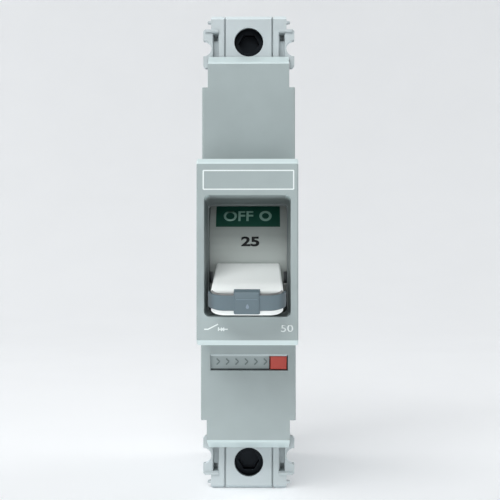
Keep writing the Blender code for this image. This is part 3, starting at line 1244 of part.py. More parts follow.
def build_contact_arm(axis):
    """Copper arm with its silver tip, in a steel carrier that the lower links push."""
    arm = prism("contact_arm", [
        (-ARM_TAIL, -ARM_HALF_THICKNESS),
        (ARM_LENGTH - TIP_SETBACK, -ARM_HALF_THICKNESS),
        (ARM_LENGTH, -ARM_HALF_THICKNESS / 4),
        (ARM_LENGTH, ARM_HALF_THICKNESS / 2),
        (ARM_LENGTH - TIP_SETBACK, ARM_HALF_THICKNESS),
        (-ARM_TAIL, ARM_HALF_THICKNESS),
    ], "x", -ARM_HALF_WIDTH, ARM_HALF_WIDTH, axis)
    finish(arm, "copper")
    eye = circle(0.0, 0.0, ARM_EYE_RADIUS, PIN_SIDES)
    fuse(arm, prism("arm_eye", eye, "x", -ARM_HALF_WIDTH, ARM_HALF_WIDTH, axis))
    bore = circle(0.0, 0.0, ARM_PIN_RADIUS + GAP, PIN_SIDES)
    cut(arm, prism("arm_bore", bore, "x", -half_width, half_width, axis))
    tip_end = ARM_LENGTH - TIP_SETBACK
    tip_face = -ARM_HALF_THICKNESS - GAP
    tip = boxes("moving_contact", [
        ((-ARM_HALF_WIDTH, ARM_HALF_WIDTH), (tip_face - TIP_THICKNESS, tip_face),
         (tip_end - TIP_LENGTH, tip_end)),
    ], axis)
    finish(tip, "silver")
    build_carrier(axis)
    pin_outline = circle(*LINK_PIN_ON_ARM, SMALL_PIN_RADIUS, PIN_SIDES)
    pin = prism("lower_link_pin", pin_outline, "x", -cheek_outer - WELD, cheek_outer + WELD, axis)
    finish(pin, "plated_steel")
    spring_z = (CARRIER_BOX_START + CARRIER_LENGTH) / 2
    coil("contact_spring", ARM_HALF_THICKNESS + GAP + CONTACT_SPRING_WIRE,
         CARRIER_TOP - CARRIER_WALL - GAP - CONTACT_SPRING_WIRE,
         CONTACT_SPRING_RADIUS, CONTACT_SPRING_WIRE, CONTACT_SPRING_TURNS, 0.0, spring_z, axis)


def build_carrier(axis):
    """Two cheeks on the arm's pin, closed round the arm by a short box."""
    pin_z, pin_depth = LINK_PIN_ON_ARM
    under = -ARM_HALF_THICKNESS - GAP
    bottom = under - CARRIER_WALL
    carrier = prism("contact_carrier", [
        (-ARM_EYE_RADIUS, bottom),
        (CARRIER_LENGTH - CARRIER_WALL, bottom),
        (CARRIER_LENGTH, bottom + CARRIER_WALL),
        (CARRIER_LENGTH, CARRIER_TOP),
        (pin_z, pin_depth + LINK_EYE_RADIUS),
        (pin_z - LINK_EYE_RADIUS, pin_depth + LINK_EYE_RADIUS / 2),
        (-ARM_EYE_RADIUS / 2, ARM_EYE_RADIUS),
        (-ARM_EYE_RADIUS, ARM_EYE_RADIUS / 2),
    ], "x", -cheek_outer, cheek_outer, axis)
    finish(carrier, "steel")
    past = CARRIER_LENGTH + OVERRUN
    rear = -ARM_EYE_RADIUS - OVERRUN
    cut(carrier, boxes("carrier_window", [
        ((-cheek_inner, cheek_inner), (under, CARRIER_TOP - CARRIER_WALL), (rear, past)),
    ], axis))
    cut(carrier, boxes("carrier_rear", [
        ((-cheek_inner, cheek_inner), (bottom - OVERRUN, CARRIER_TOP + OVERRUN), (rear, CARRIER_BOX_START)),
    ], axis))
    bores = [
        circle(0.0, 0.0, ARM_PIN_RADIUS + GAP, PIN_SIDES),
        circle(pin_z, pin_depth, SMALL_PIN_RADIUS + GAP, PIN_SIDES),
    ]
    cut(carrier, prisms("carrier_bores", bores, "x", -half_width, half_width, axis))


def build_conductors():
    """Terminal straps, fixed contact and the braid from the arm to the trip unit."""
    end, wall = half_height - STRAP_FROM_END, strap_wall_z
    line_route = [
        (end, STRAP_DEPTH), (wall, STRAP_DEPTH), (wall, LINE_STRAP_FLOOR_DEPTH),
        (LINE_STRAP_INNER_END, LINE_STRAP_FLOOR_DEPTH),
    ]
    load_route = [
        (-end, STRAP_DEPTH), (-wall, STRAP_DEPTH), (-wall, LOAD_STRAP_FLOOR_DEPTH),
        (heater_back_z + LOAD_STRAP_LAP, LOAD_STRAP_FLOOR_DEPTH),
    ]
    for name, route in (("line_strap", line_route), ("load_strap", load_route)):
        strap = prism(name, ribbon(route, STRAP_THICKNESS), "x", -STRAP_HALF_WIDTH, STRAP_HALF_WIDTH)
        finish(strap, "copper")
    tip_face = ARM_PIVOT[1] - ARM_HALF_THICKNESS - GAP - TIP_THICKNESS - GAP
    tip_end = ARM_PIVOT[0] + ARM_LENGTH - TIP_SETBACK
    tip = boxes("fixed_contact", [
        ((-FIXED_TIP_HALF_WIDTH, FIXED_TIP_HALF_WIDTH),
         (LINE_STRAP_FLOOR_DEPTH + STRAP_THICKNESS / 2 + GAP, tip_face),
         (tip_end - TIP_LENGTH, tip_end)),
    ])
    finish(tip, "silver")
    under_arm = turned((-ARM_TAIL * BRAID_ROOT_SHARE, -ARM_HALF_THICKNESS - GAP - BRAID_THICKNESS / 2), ARM_OPEN_ANGLE)
    start = (ARM_PIVOT[0] + under_arm[0], ARM_PIVOT[1] + under_arm[1])
    landing = HEATER_FOOT_DEPTH + HEATER_THICKNESS / 2 + GAP + BRAID_THICKNESS / 2
    middle = ((start[0] + heater_foot_end) / 2, (start[1] + landing) / 2 - BRAID_THICKNESS / 3)
    route = smooth_line([
        start, middle, (heater_foot_end, landing), (heater_foot_end - 2 * BRAID_THICKNESS, landing),
    ], 5)
    braid = prism("contact_braid", ribbon(route, BRAID_THICKNESS), "x", -BRAID_HALF_WIDTH, BRAID_HALF_WIDTH)
    finish(braid, "copper")


def build_arc_chute():
    """Stack of notched steel plates between two fibre sides, closed by a slotted vent."""
    side_inner = ARC_PLATE_HALF_WIDTH + GAP
    side_outer = side_inner + ARC_SIDE_THICKNESS
    tab_reach = side_outer - GAP
    notch_root = ARC_PLATE_START + ARC_NOTCH_DEPTH
    half = ARC_PLATE_HALF_WIDTH
    right = [(ARC_NOTCH_ROOT_HALF_WIDTH, notch_root), (ARC_NOTCH_HALF_WIDTH, ARC_PLATE_START),
             (half, ARC_PLATE_START)]
    tabs = [ARC_PLATE_START + share * (arc_plate_end - ARC_PLATE_START) for share in ARC_TAB_SHARES]
    for z in tabs:
        right += [(half, z), (tab_reach, z), (tab_reach, z + ARC_TAB_LENGTH), (half, z + ARC_TAB_LENGTH)]
    right.append((half, arc_plate_end))
    outline = right + [(-x, z) for x, z in reversed(right)]
    last_depth = arc_chute_top - GAP - 2 * ARC_PLATE_THICKNESS
    pitch = (last_depth - ARC_FIRST_DEPTH) / (ARC_PLATES - 1)
    slots = []
    for number in range(ARC_PLATES):
        depth = ARC_FIRST_DEPTH + number * pitch
        plate = prism(f"arc_plate_{number + 1}", outline, "depth", depth, depth + ARC_PLATE_THICKNESS)
        finish(plate, "steel")
        slots += [
            ((-half_width, half_width), (depth - GAP, depth + ARC_PLATE_THICKNESS + GAP),
             (z - GAP, z + ARC_TAB_LENGTH + GAP))
            for z in tabs
        ]
    bottom = ARC_FIRST_DEPTH - ARC_PLATE_THICKNESS - GAP
    top = arc_chute_top
    for side, side_name in ((-1, "left"), (1, "right")):
        name = f"arc_side_{side_name}"
        board = boxes(name, [
            ((side * side_inner, side * side_outer), (bottom, top), (ARC_PLATE_START, arc_plate_end)),
        ])
        finish(board, "fibre_board")
        cut(board, boxes(name + "_slots", slots))
    vent_z = arc_plate_end + 2 * GAP
    vent_half = inner_half - GAP
    vent = boxes("arc_vent", [
        ((-vent_half, vent_half), (bottom, top), (vent_z, vent_z + ARC_VENT_THICKNESS)),
    ])
    finish(vent, "fibre_board")
    width, height = ARC_VENT_SLOT
    row_pitch = (top - bottom) / ARC_VENT_ROWS
    column_pitch = 2 * vent_half / ARC_VENT_COLUMNS
    openings = []
    for row in range(ARC_VENT_ROWS):
        depth = bottom + row_pitch * (row + 0.5)
        for column in range(ARC_VENT_COLUMNS):
            x = -vent_half + column_pitch * (column + 0.5)
            openings.append(((x - width / 2, x + width / 2), (depth - height / 2, depth + height / 2),
                             (vent_z - OVERRUN, vent_z + ARC_VENT_THICKNESS + OVERRUN)))
    cut(vent, boxes("arc_vent_slots", openings))


def build_trip_unit():
    """Heater, bimetal with its calibration screw, and the magnet core."""
    load_strap_top = LOAD_STRAP_FLOOR_DEPTH + STRAP_THICKNESS / 2
    heater = prism("heater_strip", ribbon([
        (heater_foot_end, HEATER_FOOT_DEPTH), (heater_front_z, HEATER_FOOT_DEPTH),
        (heater_front_z, HEATER_TOP_DEPTH), (heater_back_z, HEATER_TOP_DEPTH),
        (heater_back_z, load_strap_top + GAP),
    ], HEATER_THICKNESS), "x", -HEATER_HALF_WIDTH, HEATER_HALF_WIDTH)
    finish(heater, "copper")
    foot_depth = HEATER_FOOT_DEPTH + HEATER_THICKNESS / 2 + GAP + BIMETAL_THICKNESS / 2
    bimetal = prism("bimetal", ribbon([
        (bimetal_z + BIMETAL_FOOT, foot_depth), (bimetal_z, foot_depth), (bimetal_z, BIMETAL_TOP_DEPTH),
    ], BIMETAL_THICKNESS), "x", -BIMETAL_HALF_WIDTH, BIMETAL_HALF_WIDTH)
    finish(bimetal, "brass")
    thread = circle(0.0, CALIBRATION_DEPTH, CALIBRATION_RADIUS + GAP, PIN_SIDES)
    cut(bimetal, prism("bimetal_thread", thread, "z", bimetal_z - OVERRUN, bimetal_z + OVERRUN))
    head_z = bimetal_z - BIMETAL_THICKNESS / 2 - GAP
    head = circle(0.0, CALIBRATION_DEPTH, CALIBRATION_HEAD_RADIUS, PIN_SIDES)
    screw = prism("calibration_screw", head, "z", head_z - CALIBRATION_RADIUS, head_z)
    finish(screw, "brass")
    shank = circle(0.0, CALIBRATION_DEPTH, CALIBRATION_RADIUS, PIN_SIDES)
    fuse(screw, prism("calibration_shank", shank, "z", head_z - WELD, calibration_tip_z))
    back = core_back_z
    inner = CORE_HALF_WIDTH - CORE_THICKNESS
    core = prism("magnet_core", [
        (-CORE_HALF_WIDTH, back), (CORE_HALF_WIDTH, back), (CORE_HALF_WIDTH, core_pole_z),
        (inner, core_pole_z), (inner, back + CORE_THICKNESS), (-inner, back + CORE_THICKNESS),
        (-inner, core_pole_z), (-CORE_HALF_WIDTH, core_pole_z),
    ], "depth", CORE_BOTTOM_DEPTH, CORE_TOP_DEPTH)
    finish(core, "steel")


def build_armature():
    """Hinged plate in front of the magnet core, with ears on two posts and a tail for the trip bar."""
    axis = pivot("armature_axis", *armature_pivot, 0.0)
    pivot_depth = ARMATURE_PIVOT_DEPTH
    half = ARMATURE_THICKNESS / 2
    knee = ARMATURE_THICKNESS
    low = CORE_BOTTOM_DEPTH - pivot_depth - GAP
    plate = boxes("armature", [
        ((-ARMATURE_HALF_WIDTH, ARMATURE_HALF_WIDTH), (low, knee), (-half, half)),
    ], axis)
    finish(plate, "steel")
    fuse(plate, boxes("armature_ears", [
        ((-ARMATURE_EAR_HALF_WIDTH, ARMATURE_EAR_HALF_WIDTH), (-GAP - WELD, knee - WELD), (-half, half)),
    ], axis))
    rise = ARMATURE_TAIL_DEPTH - pivot_depth
    offset = ARMATURE_TAIL_OFFSET
    tail = [
        (-half, knee - 2 * WELD), (half, knee - 2 * WELD), (half + offset, knee + offset),
        (half + offset, rise), (-half + offset, rise), (-half + offset, knee + offset),
    ]
    fuse(plate, prism("armature_tail", tail, "x", -ARMATURE_HALF_WIDTH,
                      -ARMATURE_HALF_WIDTH + ARMATURE_TAIL_WIDTH, axis))


def build_trip_bar():
    """Moulded shaft with three arms: under the button, at the bimetal and up to the latch."""
    axis = pivot("trip_bar_axis", *TRIP_PIVOT, 0.0)
    radius = TRIP_SHAFT_RADIUS
    bar = prism("trip_bar", circle(0.0, 0.0, radius, PIN_SIDES), "x", -saddle_half, saddle_half, axis)
    finish(bar, "black_moulding")
    journal = circle(0.0, 0.0, TRIP_JOURNAL_RADIUS, PIN_SIDES)
    reach = inner_half - GAP
    fuse(bar, prism("trip_bar_journals", journal, "x", -reach, reach, axis))
    latch_back = CRADLE_TAIL_Z - GAP - LATCH_THICKNESS - GAP - TRIP_PIVOT[0]
    latch_top = CRADLE_TAIL_DEPTH + GAP + LATCH_LIP_THICKNESS - TRIP_PIVOT[1]
    root_z, root_depth = TRIP_FINGER_ROOT
    finger = [
        (-root_z, root_depth), (latch_back - radius, latch_top), (latch_back, latch_top),
        (latch_back, radius), (root_z, -root_depth),
    ]
    fuse(bar, prism("trip_bar_finger", finger, "x", -LATCH_HALF_WIDTH, LATCH_HALF_WIDTH, axis))
    stem_z = button_z - TRIP_PIVOT[0]
    arm_top = BUTTON_STEM_END - GAP - TRIP_PIVOT[1]
    arm_end = stem_z - BUTTON_STEM_RADIUS - GAP
    root_z, root_depth = TRIP_ARM_ROOT
    arm = [(0.0, arm_top), (arm_end, arm_top), (arm_end, arm_top / 3), (-root_z, -root_depth)]
    arm_half = BUTTON_STEM_RADIUS + WELD
    fuse(bar, prism("trip_bar_button_arm", arm, "x", button_x - arm_half,
                    min(button_x + arm_half, saddle_half - WELD), axis))
    foot = TRIP_FOOT_DEPTH - TRIP_PIVOT[1]
    foot_face = calibration_tip_z + 3 * GAP - TRIP_PIVOT[0]
    back_root, front_root = TRIP_LEG_ROOT
    leg = [
        (-back_root, 0.0), (foot_face, foot), (foot_face + ARMATURE_THICKNESS, foot), (front_root, 0.0),
    ]
    fuse(bar, prism("trip_bar_leg", leg, "x", -ARMATURE_HALF_WIDTH, LATCH_HALF_WIDTH, axis))
    plate_front = CRADLE_TAIL_Z - GAP - TRIP_PIVOT[0]
    lip_bottom = CRADLE_TAIL_DEPTH + GAP - TRIP_PIVOT[1]
    insert = prism("latch_insert", [
        (plate_front - LATCH_THICKNESS, radius), (plate_front, radius), (plate_front, lip_bottom),
        (plate_front + LATCH_LIP, lip_bottom), (plate_front + LATCH_LIP, latch_top),
        (plate_front - LATCH_THICKNESS, latch_top),
    ], "x", -LATCH_HALF_WIDTH + WELD, LATCH_HALF_WIDTH - WELD, axis)
    finish(insert, "plated_steel")


def build_trip_button():
    """Red button with a retaining flange, a long stem and a return spring on the shelf."""
    axis = pivot("trip_button_axis", button_z, 0.0, 0.0)
    half_length = BUTTON_HEIGHT / 2
    face = LOWER_SHOULDER_DEPTH - BUTTON_SUNK
    flange_top = LOWER_SHOULDER_DEPTH - FRONT_WALL - GAP
    flange_bottom = flange_top - BUTTON_FLANGE_THICKNESS
    right = BUTTON_LEFT + BUTTON_WIDTH
    button = boxes("trip_button", [
        ((BUTTON_LEFT, right), (flange_top - WELD, face), (-half_length, half_length)),
    ], axis)
    finish(button, "red_moulding")
    flange_right = min(right + BUTTON_FLANGE, inner_half - GAP)
    fuse(button, boxes("trip_button_flange", [
        ((BUTTON_LEFT - BUTTON_FLANGE, flange_right), (flange_bottom, flange_top),
         (-half_length - BUTTON_FLANGE, half_length + BUTTON_FLANGE)),
    ], axis))
    stem = circle(button_x, 0.0, BUTTON_STEM_RADIUS, PIN_SIDES)
    fuse(button, prism("trip_button_stem", stem, "depth", BUTTON_STEM_END, flange_bottom + WELD, axis))
    coil("trip_button_spring", BUTTON_SHELF_DEPTH + GAP + BUTTON_SPRING_WIRE,
         flange_bottom - GAP - BUTTON_SPRING_WIRE, BUTTON_SPRING_RADIUS, BUTTON_SPRING_WIRE,
         BUTTON_SPRING_TURNS, button_x, button_z)


def build_mechanism():
    """Toggle, links, springs and contact arm, placed for OFF by the linkage's geometry."""
    arm_pin, knee, anchor = linkage(ARM_OPEN_ANGLE, TOGGLE_REST_ANGLE)
    toggle_axis = pivot("toggle_axis", TOGGLE_PIVOT_Z, TOGGLE_PIVOT_DEPTH, TOGGLE_REST_ANGLE)
    build_toggle(toggle_axis)
    arm_axis = pivot("contact_arm_axis", *ARM_PIVOT, ARM_OPEN_ANGLE)
    build_contact_arm(arm_axis)
    upper_axis = pivot("upper_link_axis", *CRADLE_LINK, direction_of(CRADLE_LINK, knee))
    lower_axis = pivot("lower_link_axis", *LINK_PIN_ON_ARM,
                       direction_of(arm_pin, knee) - ARM_OPEN_ANGLE, arm_axis)
    build_links(upper_axis, lower_axis)
    spring_axis = pivot("main_spring_axis", 0.0, SPRING_ANCHOR_RADIUS,
                        direction_of(anchor, knee) - TOGGLE_REST_ANGLE, toggle_axis)
    build_main_springs(spring_axis, math.dist(anchor, knee))


def main():
    clear_scene()
    build_base()
    build_cover()
    for side_name, sign in (("line", 1), ("load", -1)):
        build_shroud(side_name + "_shroud", sign)
        build_terminal(side_name, sign)
    build_case_screws()
    build_frame()
    build_cradle()
    build_mechanism()
    build_conductors()
    build_arc_chute()
    build_trip_unit()
    build_armature()
    build_trip_bar()
    build_trip_button()


main()
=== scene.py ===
"""Looks of the moulded case circuit breaker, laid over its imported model.

Metres, with X across the width, Z up and the front towards -Y. A depth is measured forward from the
back face, as in the part's source, so a depth d lies at y = -d. The toggle stands at OFF.
"""
import json
import math

import bpy
from mathutils import Matrix, Vector


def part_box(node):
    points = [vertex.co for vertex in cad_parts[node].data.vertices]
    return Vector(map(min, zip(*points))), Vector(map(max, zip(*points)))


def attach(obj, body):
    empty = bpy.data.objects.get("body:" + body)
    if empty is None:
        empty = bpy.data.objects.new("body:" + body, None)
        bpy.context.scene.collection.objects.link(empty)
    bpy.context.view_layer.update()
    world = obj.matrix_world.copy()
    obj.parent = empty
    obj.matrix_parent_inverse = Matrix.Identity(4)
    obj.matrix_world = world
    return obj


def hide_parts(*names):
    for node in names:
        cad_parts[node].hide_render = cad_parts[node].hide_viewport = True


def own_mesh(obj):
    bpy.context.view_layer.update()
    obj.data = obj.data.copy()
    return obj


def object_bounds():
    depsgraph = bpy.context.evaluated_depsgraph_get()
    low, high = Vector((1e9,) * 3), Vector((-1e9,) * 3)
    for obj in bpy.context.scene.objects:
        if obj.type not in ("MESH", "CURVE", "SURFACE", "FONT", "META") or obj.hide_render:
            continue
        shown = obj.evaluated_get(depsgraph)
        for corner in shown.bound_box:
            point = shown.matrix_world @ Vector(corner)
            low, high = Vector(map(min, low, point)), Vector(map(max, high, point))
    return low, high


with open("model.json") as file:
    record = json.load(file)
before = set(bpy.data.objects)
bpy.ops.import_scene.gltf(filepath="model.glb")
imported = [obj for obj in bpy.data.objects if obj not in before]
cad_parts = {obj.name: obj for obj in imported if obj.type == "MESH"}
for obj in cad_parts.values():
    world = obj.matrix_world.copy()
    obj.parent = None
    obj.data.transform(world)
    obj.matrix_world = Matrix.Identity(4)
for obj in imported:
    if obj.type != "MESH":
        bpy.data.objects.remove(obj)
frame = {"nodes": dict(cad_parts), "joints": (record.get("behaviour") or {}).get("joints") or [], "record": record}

MM = 0.001
cad_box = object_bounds()


def joint_named(name):
    return next(joint for joint in frame["joints"] if joint["name"] == name)


# Faces of the case, as depths

NOSE = -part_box("case_cover")[0].y
PLATFORM = -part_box("line_shroud")[0].y
STRIP_FLOOR = 51.4 * MM

# Toggle's well in the nose

WELL_HALF_WIDTH = 11.0 * MM
WELL_HALF_HEIGHT = 15.6 * MM
WELL_MIDDLE_Z = -0.9 * MM
WELL_UPPER_Z = 10.5 * MM

# Tool holes, which lead to the terminal screws

HOLE_RADIUS = 4.3 * MM
SCREW_Z = joint_named("line_screw_turn")["pos_m"][2]

# Toggle, whose lever lies level halfway through its throw; radii run from its hinge

toggle_throw = joint_named("toggle_throw")
HINGE_DEPTH = -toggle_throw["pos_m"][1]
HINGE_Z = toggle_throw["pos_m"][2]
REST_ANGLE = toggle_throw["range_deg"][1] / 2
SHIELD_RADIUS = 20.0 * MM
TAB_FACE = 45.5 * MM

# Grip band, and its seat on the lever's tip

BAND_CORNER = 7.2 * MM
BAND_HALF_WIDTH = 9.3 * MM
SEAT_START = 41.0 * MM
SEAT_MIDDLE = 0.65 * MM
SEAT_HALF_HEIGHT = 2.16 * MM

# Thickness of print, and width of its lines

INK = 0.03 * MM
LINE = 0.3 * MM


# Shader maths

class Field:
    """A socket whose arithmetic adds Math nodes to its own material."""

    def __init__(self, surface, socket):
        self.surface = surface
        self.socket = socket

    def math(self, operation, *values):
        inputs = dict(enumerate(values))
        return self.surface.node("ShaderNodeMath", {"operation": operation}, inputs)

    def __add__(self, other):
        return self.math("ADD", self, other)

    __radd__ = __add__

    def __sub__(self, other):
        return self.math("SUBTRACT", self, other)

    def __rsub__(self, other):
        return self.math("SUBTRACT", other, self)

    def __mul__(self, other):
        return self.math("MULTIPLY", self, other)

    __rmul__ = __mul__

    def __pow__(self, other):
        return self.math("POWER", self, other)

    def size(self):
        return self.math("ABSOLUTE", self)

    def sine(self):
        return self.math("SINE", self)

    def either(self, other):
        """The larger of the two."""
        return self.math("MAXIMUM", self, other)

    def ramp(self, low, high):
        """0 at low, 1 at high and smooth between them, where low may be the larger number."""
        inputs = {"Value": self, "From Min": low, "From Max": high}
        return self.surface.node("ShaderNodeMapRange", {"interpolation_type": "SMOOTHSTEP"}, inputs)


class Surface:
    """A material, its shader and the nodes that feed it."""

    def __init__(self, name, **values):
        self.material = bpy.data.materials.new(name)
        self.material.use_nodes = True
        self.tree = self.material.node_tree
        self.shader = self.tree.nodes["Principled BSDF"]
        for socket, value in values.items():
            self.shader.inputs[socket.replace("_", " ")].default_value = value

    def node(self, kind, settings=None, inputs=None, output=0):
        """Add a node: its settings first, then the values or links of its sockets."""
        node = self.tree.nodes.new(kind)
        for setting, value in (settings or {}).items():
            setattr(node, setting, value)
        for socket, value in (inputs or {}).items():
            self.feed(node, socket, value)
        return Field(self, node.outputs[output])

    def feed(self, node, socket, value):
        if isinstance(value, Field):
            self.tree.links.new(value.socket, node.inputs[socket])
        else:
            node.inputs[socket].default_value = value

    def place(self, stretch=(1.0, 1.0, 1.0), turn=(0.0, 0.0, 0.0), centre=(0.0, 0.0, 0.0)):
        """Object coordinates, moved to a centre, turned and stretched."""
        place = self.node("ShaderNodeTexCoord", output="Object")
        settings = {"vector_type": "TEXTURE"}
        inputs = {"Vector": place, "Location": centre, "Rotation": turn, "Scale": stretch}
        return self.node("ShaderNodeMapping", settings, inputs)

    def split(self, vector):
        """The three parts of a vector."""
        parts = self.tree.nodes.new("ShaderNodeSeparateXYZ")
        self.feed(parts, "Vector", vector)
        return [Field(self, output) for output in parts.outputs]

    def axes(self):
        """Object coordinates as three fields."""
        return self.split(self.node("ShaderNodeTexCoord", output="Object"))

    def facing(self):
        return self.node("ShaderNodeNewGeometry", output="Normal")

    def noise(self, size, detail=2.0, roughness=0.5, where=None):
        """Clouds whose lumps are about one size across, from 0 to 1."""
        inputs = {"Vector": where or self.place(), "Scale": 1.0 / size,
                  "Detail": detail, "Roughness": roughness}
        return self.node("ShaderNodeTexNoise", None, inputs)

    def cells(self, size):
        """Distance to scattered points, about one size apart."""
        inputs = {"Vector": self.place(), "Scale": 1.0 / size}
        return self.node("ShaderNodeTexVoronoi", None, inputs)

    def mix(self, mask, first, second):
        """First colour where the mask is 0, second where it is 1."""
        return self.node("ShaderNodeMix", {"data_type": "RGBA"}, {0: mask, 6: first, 7: second}, 2)

    def edges(self, radius):
        """1 on outer and inner edges, 0 on flats, with the rounded normal that shows them."""
        rounded = self.node("ShaderNodeBevel", {"samples": 6}, {"Radius": radius})
        dot = self.node("ShaderNodeVectorMath", {"operation": "DOT_PRODUCT"},
                        {0: rounded, 1: self.facing()}, "Value")
        return (1.0 - dot).ramp(0.004, 0.12), rounded

    def slope_highlight_mask(self):
        """1 on faces that lean up or down but aren't level, which get a painted highlight for the light that falls
        on them from above and below.
        """
        lean = self.split(self.facing())[2].size()
        return lean.ramp(0.2, 0.4) * lean.ramp(0.985, 0.96)

    def relief(self, height, depth, normal=None):
        inputs = {"Height": height, "Strength": 1.0, "Distance": depth}
        if normal is not None:
            inputs["Normal"] = normal
        return self.node("ShaderNodeBump", None, inputs)

    def shade(self, **fields):
        """Link fields to the shader's own sockets."""
        for socket, value in fields.items():
            self.feed(self.shader, socket.replace("_", " "), value)
        return self.material


# Colours

def srgb(red, green, blue):
    """Linear colour from screen values of 0 to 255."""
    def channel(value):
        value /= 255
        return value / 12.92 if value <= 0.04045 else ((value + 0.055) / 1.055) ** 2.4
    return (channel(red), channel(green), channel(blue), 1.0)


def tint(colour, factor):
    """The colour, darker below a factor of 1 and paler above it."""
    return tuple(channel * factor for channel in colour[:3]) + (1.0,)


# Shaded places on a finish

def well_painted_shade(surface):
    """Painted shade: 1 high up in the toggle's well, less on its other walls and 0 at its rim."""
    lower_share = 0.72
    x, y, z = surface.axes()
    across = x.size().ramp(WELL_HALF_WIDTH, WELL_HALF_WIDTH - 0.2 * MM)
    upright = (z - WELL_MIDDLE_Z).size().ramp(WELL_HALF_HEIGHT, WELL_HALF_HEIGHT - 0.4 * MM)
    inward = y.ramp(-NOSE + 0.4 * MM, -NOSE + 5.0 * MM)
    upper = z.ramp(WELL_UPPER_Z, WELL_UPPER_Z + 2.0 * MM)
    return across * upright * inward * (lower_share + upper * (1.0 - lower_share))


def tool_hole_painted_shade(surface):
    """Painted shade: 1 on the walls of both tool holes, behind their rims, which the shroud moulding paints near
    black.
    """
    x, y, z = surface.axes()
    height = z.size() - SCREW_Z
    radius = (x * x + height * height) ** 0.5
    inward = y.ramp(-PLATFORM + 0.15 * MM, -PLATFORM + 0.9 * MM)
    return radius.ramp(HOLE_RADIUS, HOLE_RADIUS - 0.2 * MM) * inward


def band_end_painted_shade(surface):
    """Painted shade: 1 where the grip band turns round the corners of the lever and faces away to the sides."""
    return surface.axes()[0].size().ramp(BAND_CORNER, BAND_HALF_WIDTH)


def band_seat_painted_shadow(surface):
    """Painted shadow: 1 on the strip of the lever's tip that the grip band covers, which shows as a dark line
    along the band's edges.
    """
    turned = surface.place(turn=(math.radians(REST_ANGLE), 0.0, 0.0),
                           centre=(0.0, -HINGE_DEPTH, HINGE_Z))
    outward, upward = surface.split(turned)[1:]
    height = (upward - SEAT_MIDDLE).size()
    tip = outward.ramp(-SEAT_START, -SEAT_START - 0.4 * MM)
    return height.ramp(SEAT_HALF_HEIGHT, SEAT_HALF_HEIGHT - 0.14 * MM) * tip


# Kinds of finish

def moulding(name, colour, gloss, grain_depth=0.006 * MM, flow=0.03,
             painted_shade=None, painted_shade_tint=0.5, slope_highlight_gain=0.0):
    """Filled plastic: flow clouds, fine filler specks, an eroded grain and softened edges; where asked, a painted
    highlight on sloped faces and painted shade on a masked place.
    """
    speck_cover, edge_cover = 0.10, 0.22
    surface = Surface(name, Specular_IOR_Level=0.5)
    clouds = surface.noise(size=9.0 * MM, detail=4.0)
    specks = surface.cells(size=0.35 * MM).ramp(0.12, 0.05)
    worn, rounded = surface.edges(radius=0.22 * MM)
    base = surface.mix(clouds.ramp(0.3, 0.7), tint(colour, 1.0 - flow), tint(colour, 1.0 + flow))
    base = surface.mix(specks * speck_cover, base, tint(colour, 1.35))
    base = surface.mix(worn * edge_cover, base, tint(colour, 1.25))
    # Painted highlight: sloped faces paler.
    if slope_highlight_gain:
        base = surface.mix(surface.slope_highlight_mask(), base, tint(colour, 1.0 + slope_highlight_gain))
    # Painted shade: the masked place darker.
    if painted_shade:
        base = surface.mix(painted_shade(surface), base, tint(colour, painted_shade_tint))
    grain = surface.noise(size=0.25 * MM, detail=3.0, roughness=0.6)
    roughness = gloss + (clouds - 0.5) * 0.12 + (grain - 0.5) * 0.08 - worn * 0.06
    return surface.shade(Base_Color=base, Roughness=roughness,
                         Normal=surface.relief(grain, grain_depth, rounded))


def metal(name, colour, gloss, brushed=(1.0, 1.0, 1.0), tarnish=0.12):
    """Rolled or plated metal: fine scratches along one way, faint tarnish and bright edges."""
    edge_cover = 0.5
    surface = Surface(name, Metallic=1.0)
    stains = surface.noise(size=3.0 * MM, detail=5.0, roughness=0.6)
    scratches = surface.noise(size=0.3 * MM, detail=3.0, where=surface.place(stretch=brushed))
    worn, rounded = surface.edges(radius=0.12 * MM)
    base = surface.mix(stains.ramp(0.35, 0.75), colour, tint(colour, 1.0 - tarnish))
    base = surface.mix(worn * edge_cover, base, tint(colour, 1.2))
    roughness = gloss + (stains - 0.5) * 0.15 + (scratches - 0.5) * 0.15
    return surface.shade(Base_Color=base, Roughness=roughness,
                         Normal=surface.relief(scratches, 0.002 * MM, rounded))


def braid(name, colour):
    """Flat braid of fine wires, whose strands cross on the slant."""
    wire_pitch = 0.5 * MM
    surface = Surface(name, Metallic=1.0)
    x, y, z = surface.axes()
    turns = 2.0 * math.pi / wire_pitch
    along = z - y
    rising, falling = ((x + along) * turns).sine(), ((x - along) * turns).sine()
    strands = rising.either(falling) * 0.5 + 0.5
    base = surface.mix(strands, tint(colour, 0.35), tint(colour, 1.05))
    return surface.shade(Base_Color=base, Roughness=0.5 - strands * 0.15,
                         Normal=surface.relief(strands, 0.08 * MM))


def board(name, colour):
    """Pressed fibre board: a woven fleck and a dull face."""
    edge_cover = 0.4
    surface = Surface(name, Specular_IOR_Level=0.2)
    fleck = surface.noise(size=0.4 * MM, detail=4.0, where=surface.place(stretch=(1.0, 1.0, 4.0)))
    worn, rounded = surface.edges(radius=0.1 * MM)
    base = surface.mix(fleck, tint(colour, 0.75), tint(colour, 1.2))
    base = surface.mix(worn * edge_cover, base, tint(colour, 1.4))
    return surface.shade(Base_Color=base, Roughness=0.75 + fleck * 0.15,
                         Normal=surface.relief(fleck, 0.02 * MM, rounded))


def ink(name, colour):
    """Printed or cast mark: a thin film with faint pinholes."""
    pinhole_cover = 0.08
    surface = Surface(name, Specular_IOR_Level=0.4)
    pinholes = surface.noise(size=0.18 * MM)
    base = surface.mix(pinholes.ramp(0.62, 0.75) * pinhole_cover, colour, tint(colour, 0.5))
    return surface.shade(Base_Color=base, Roughness=0.42 + pinholes * 0.1,
                         Normal=surface.relief(pinholes, 0.002 * MM))


# Finishes of the record's material slots

ROLLED_UPWARDS = (1.0, 1.0, 8.0)
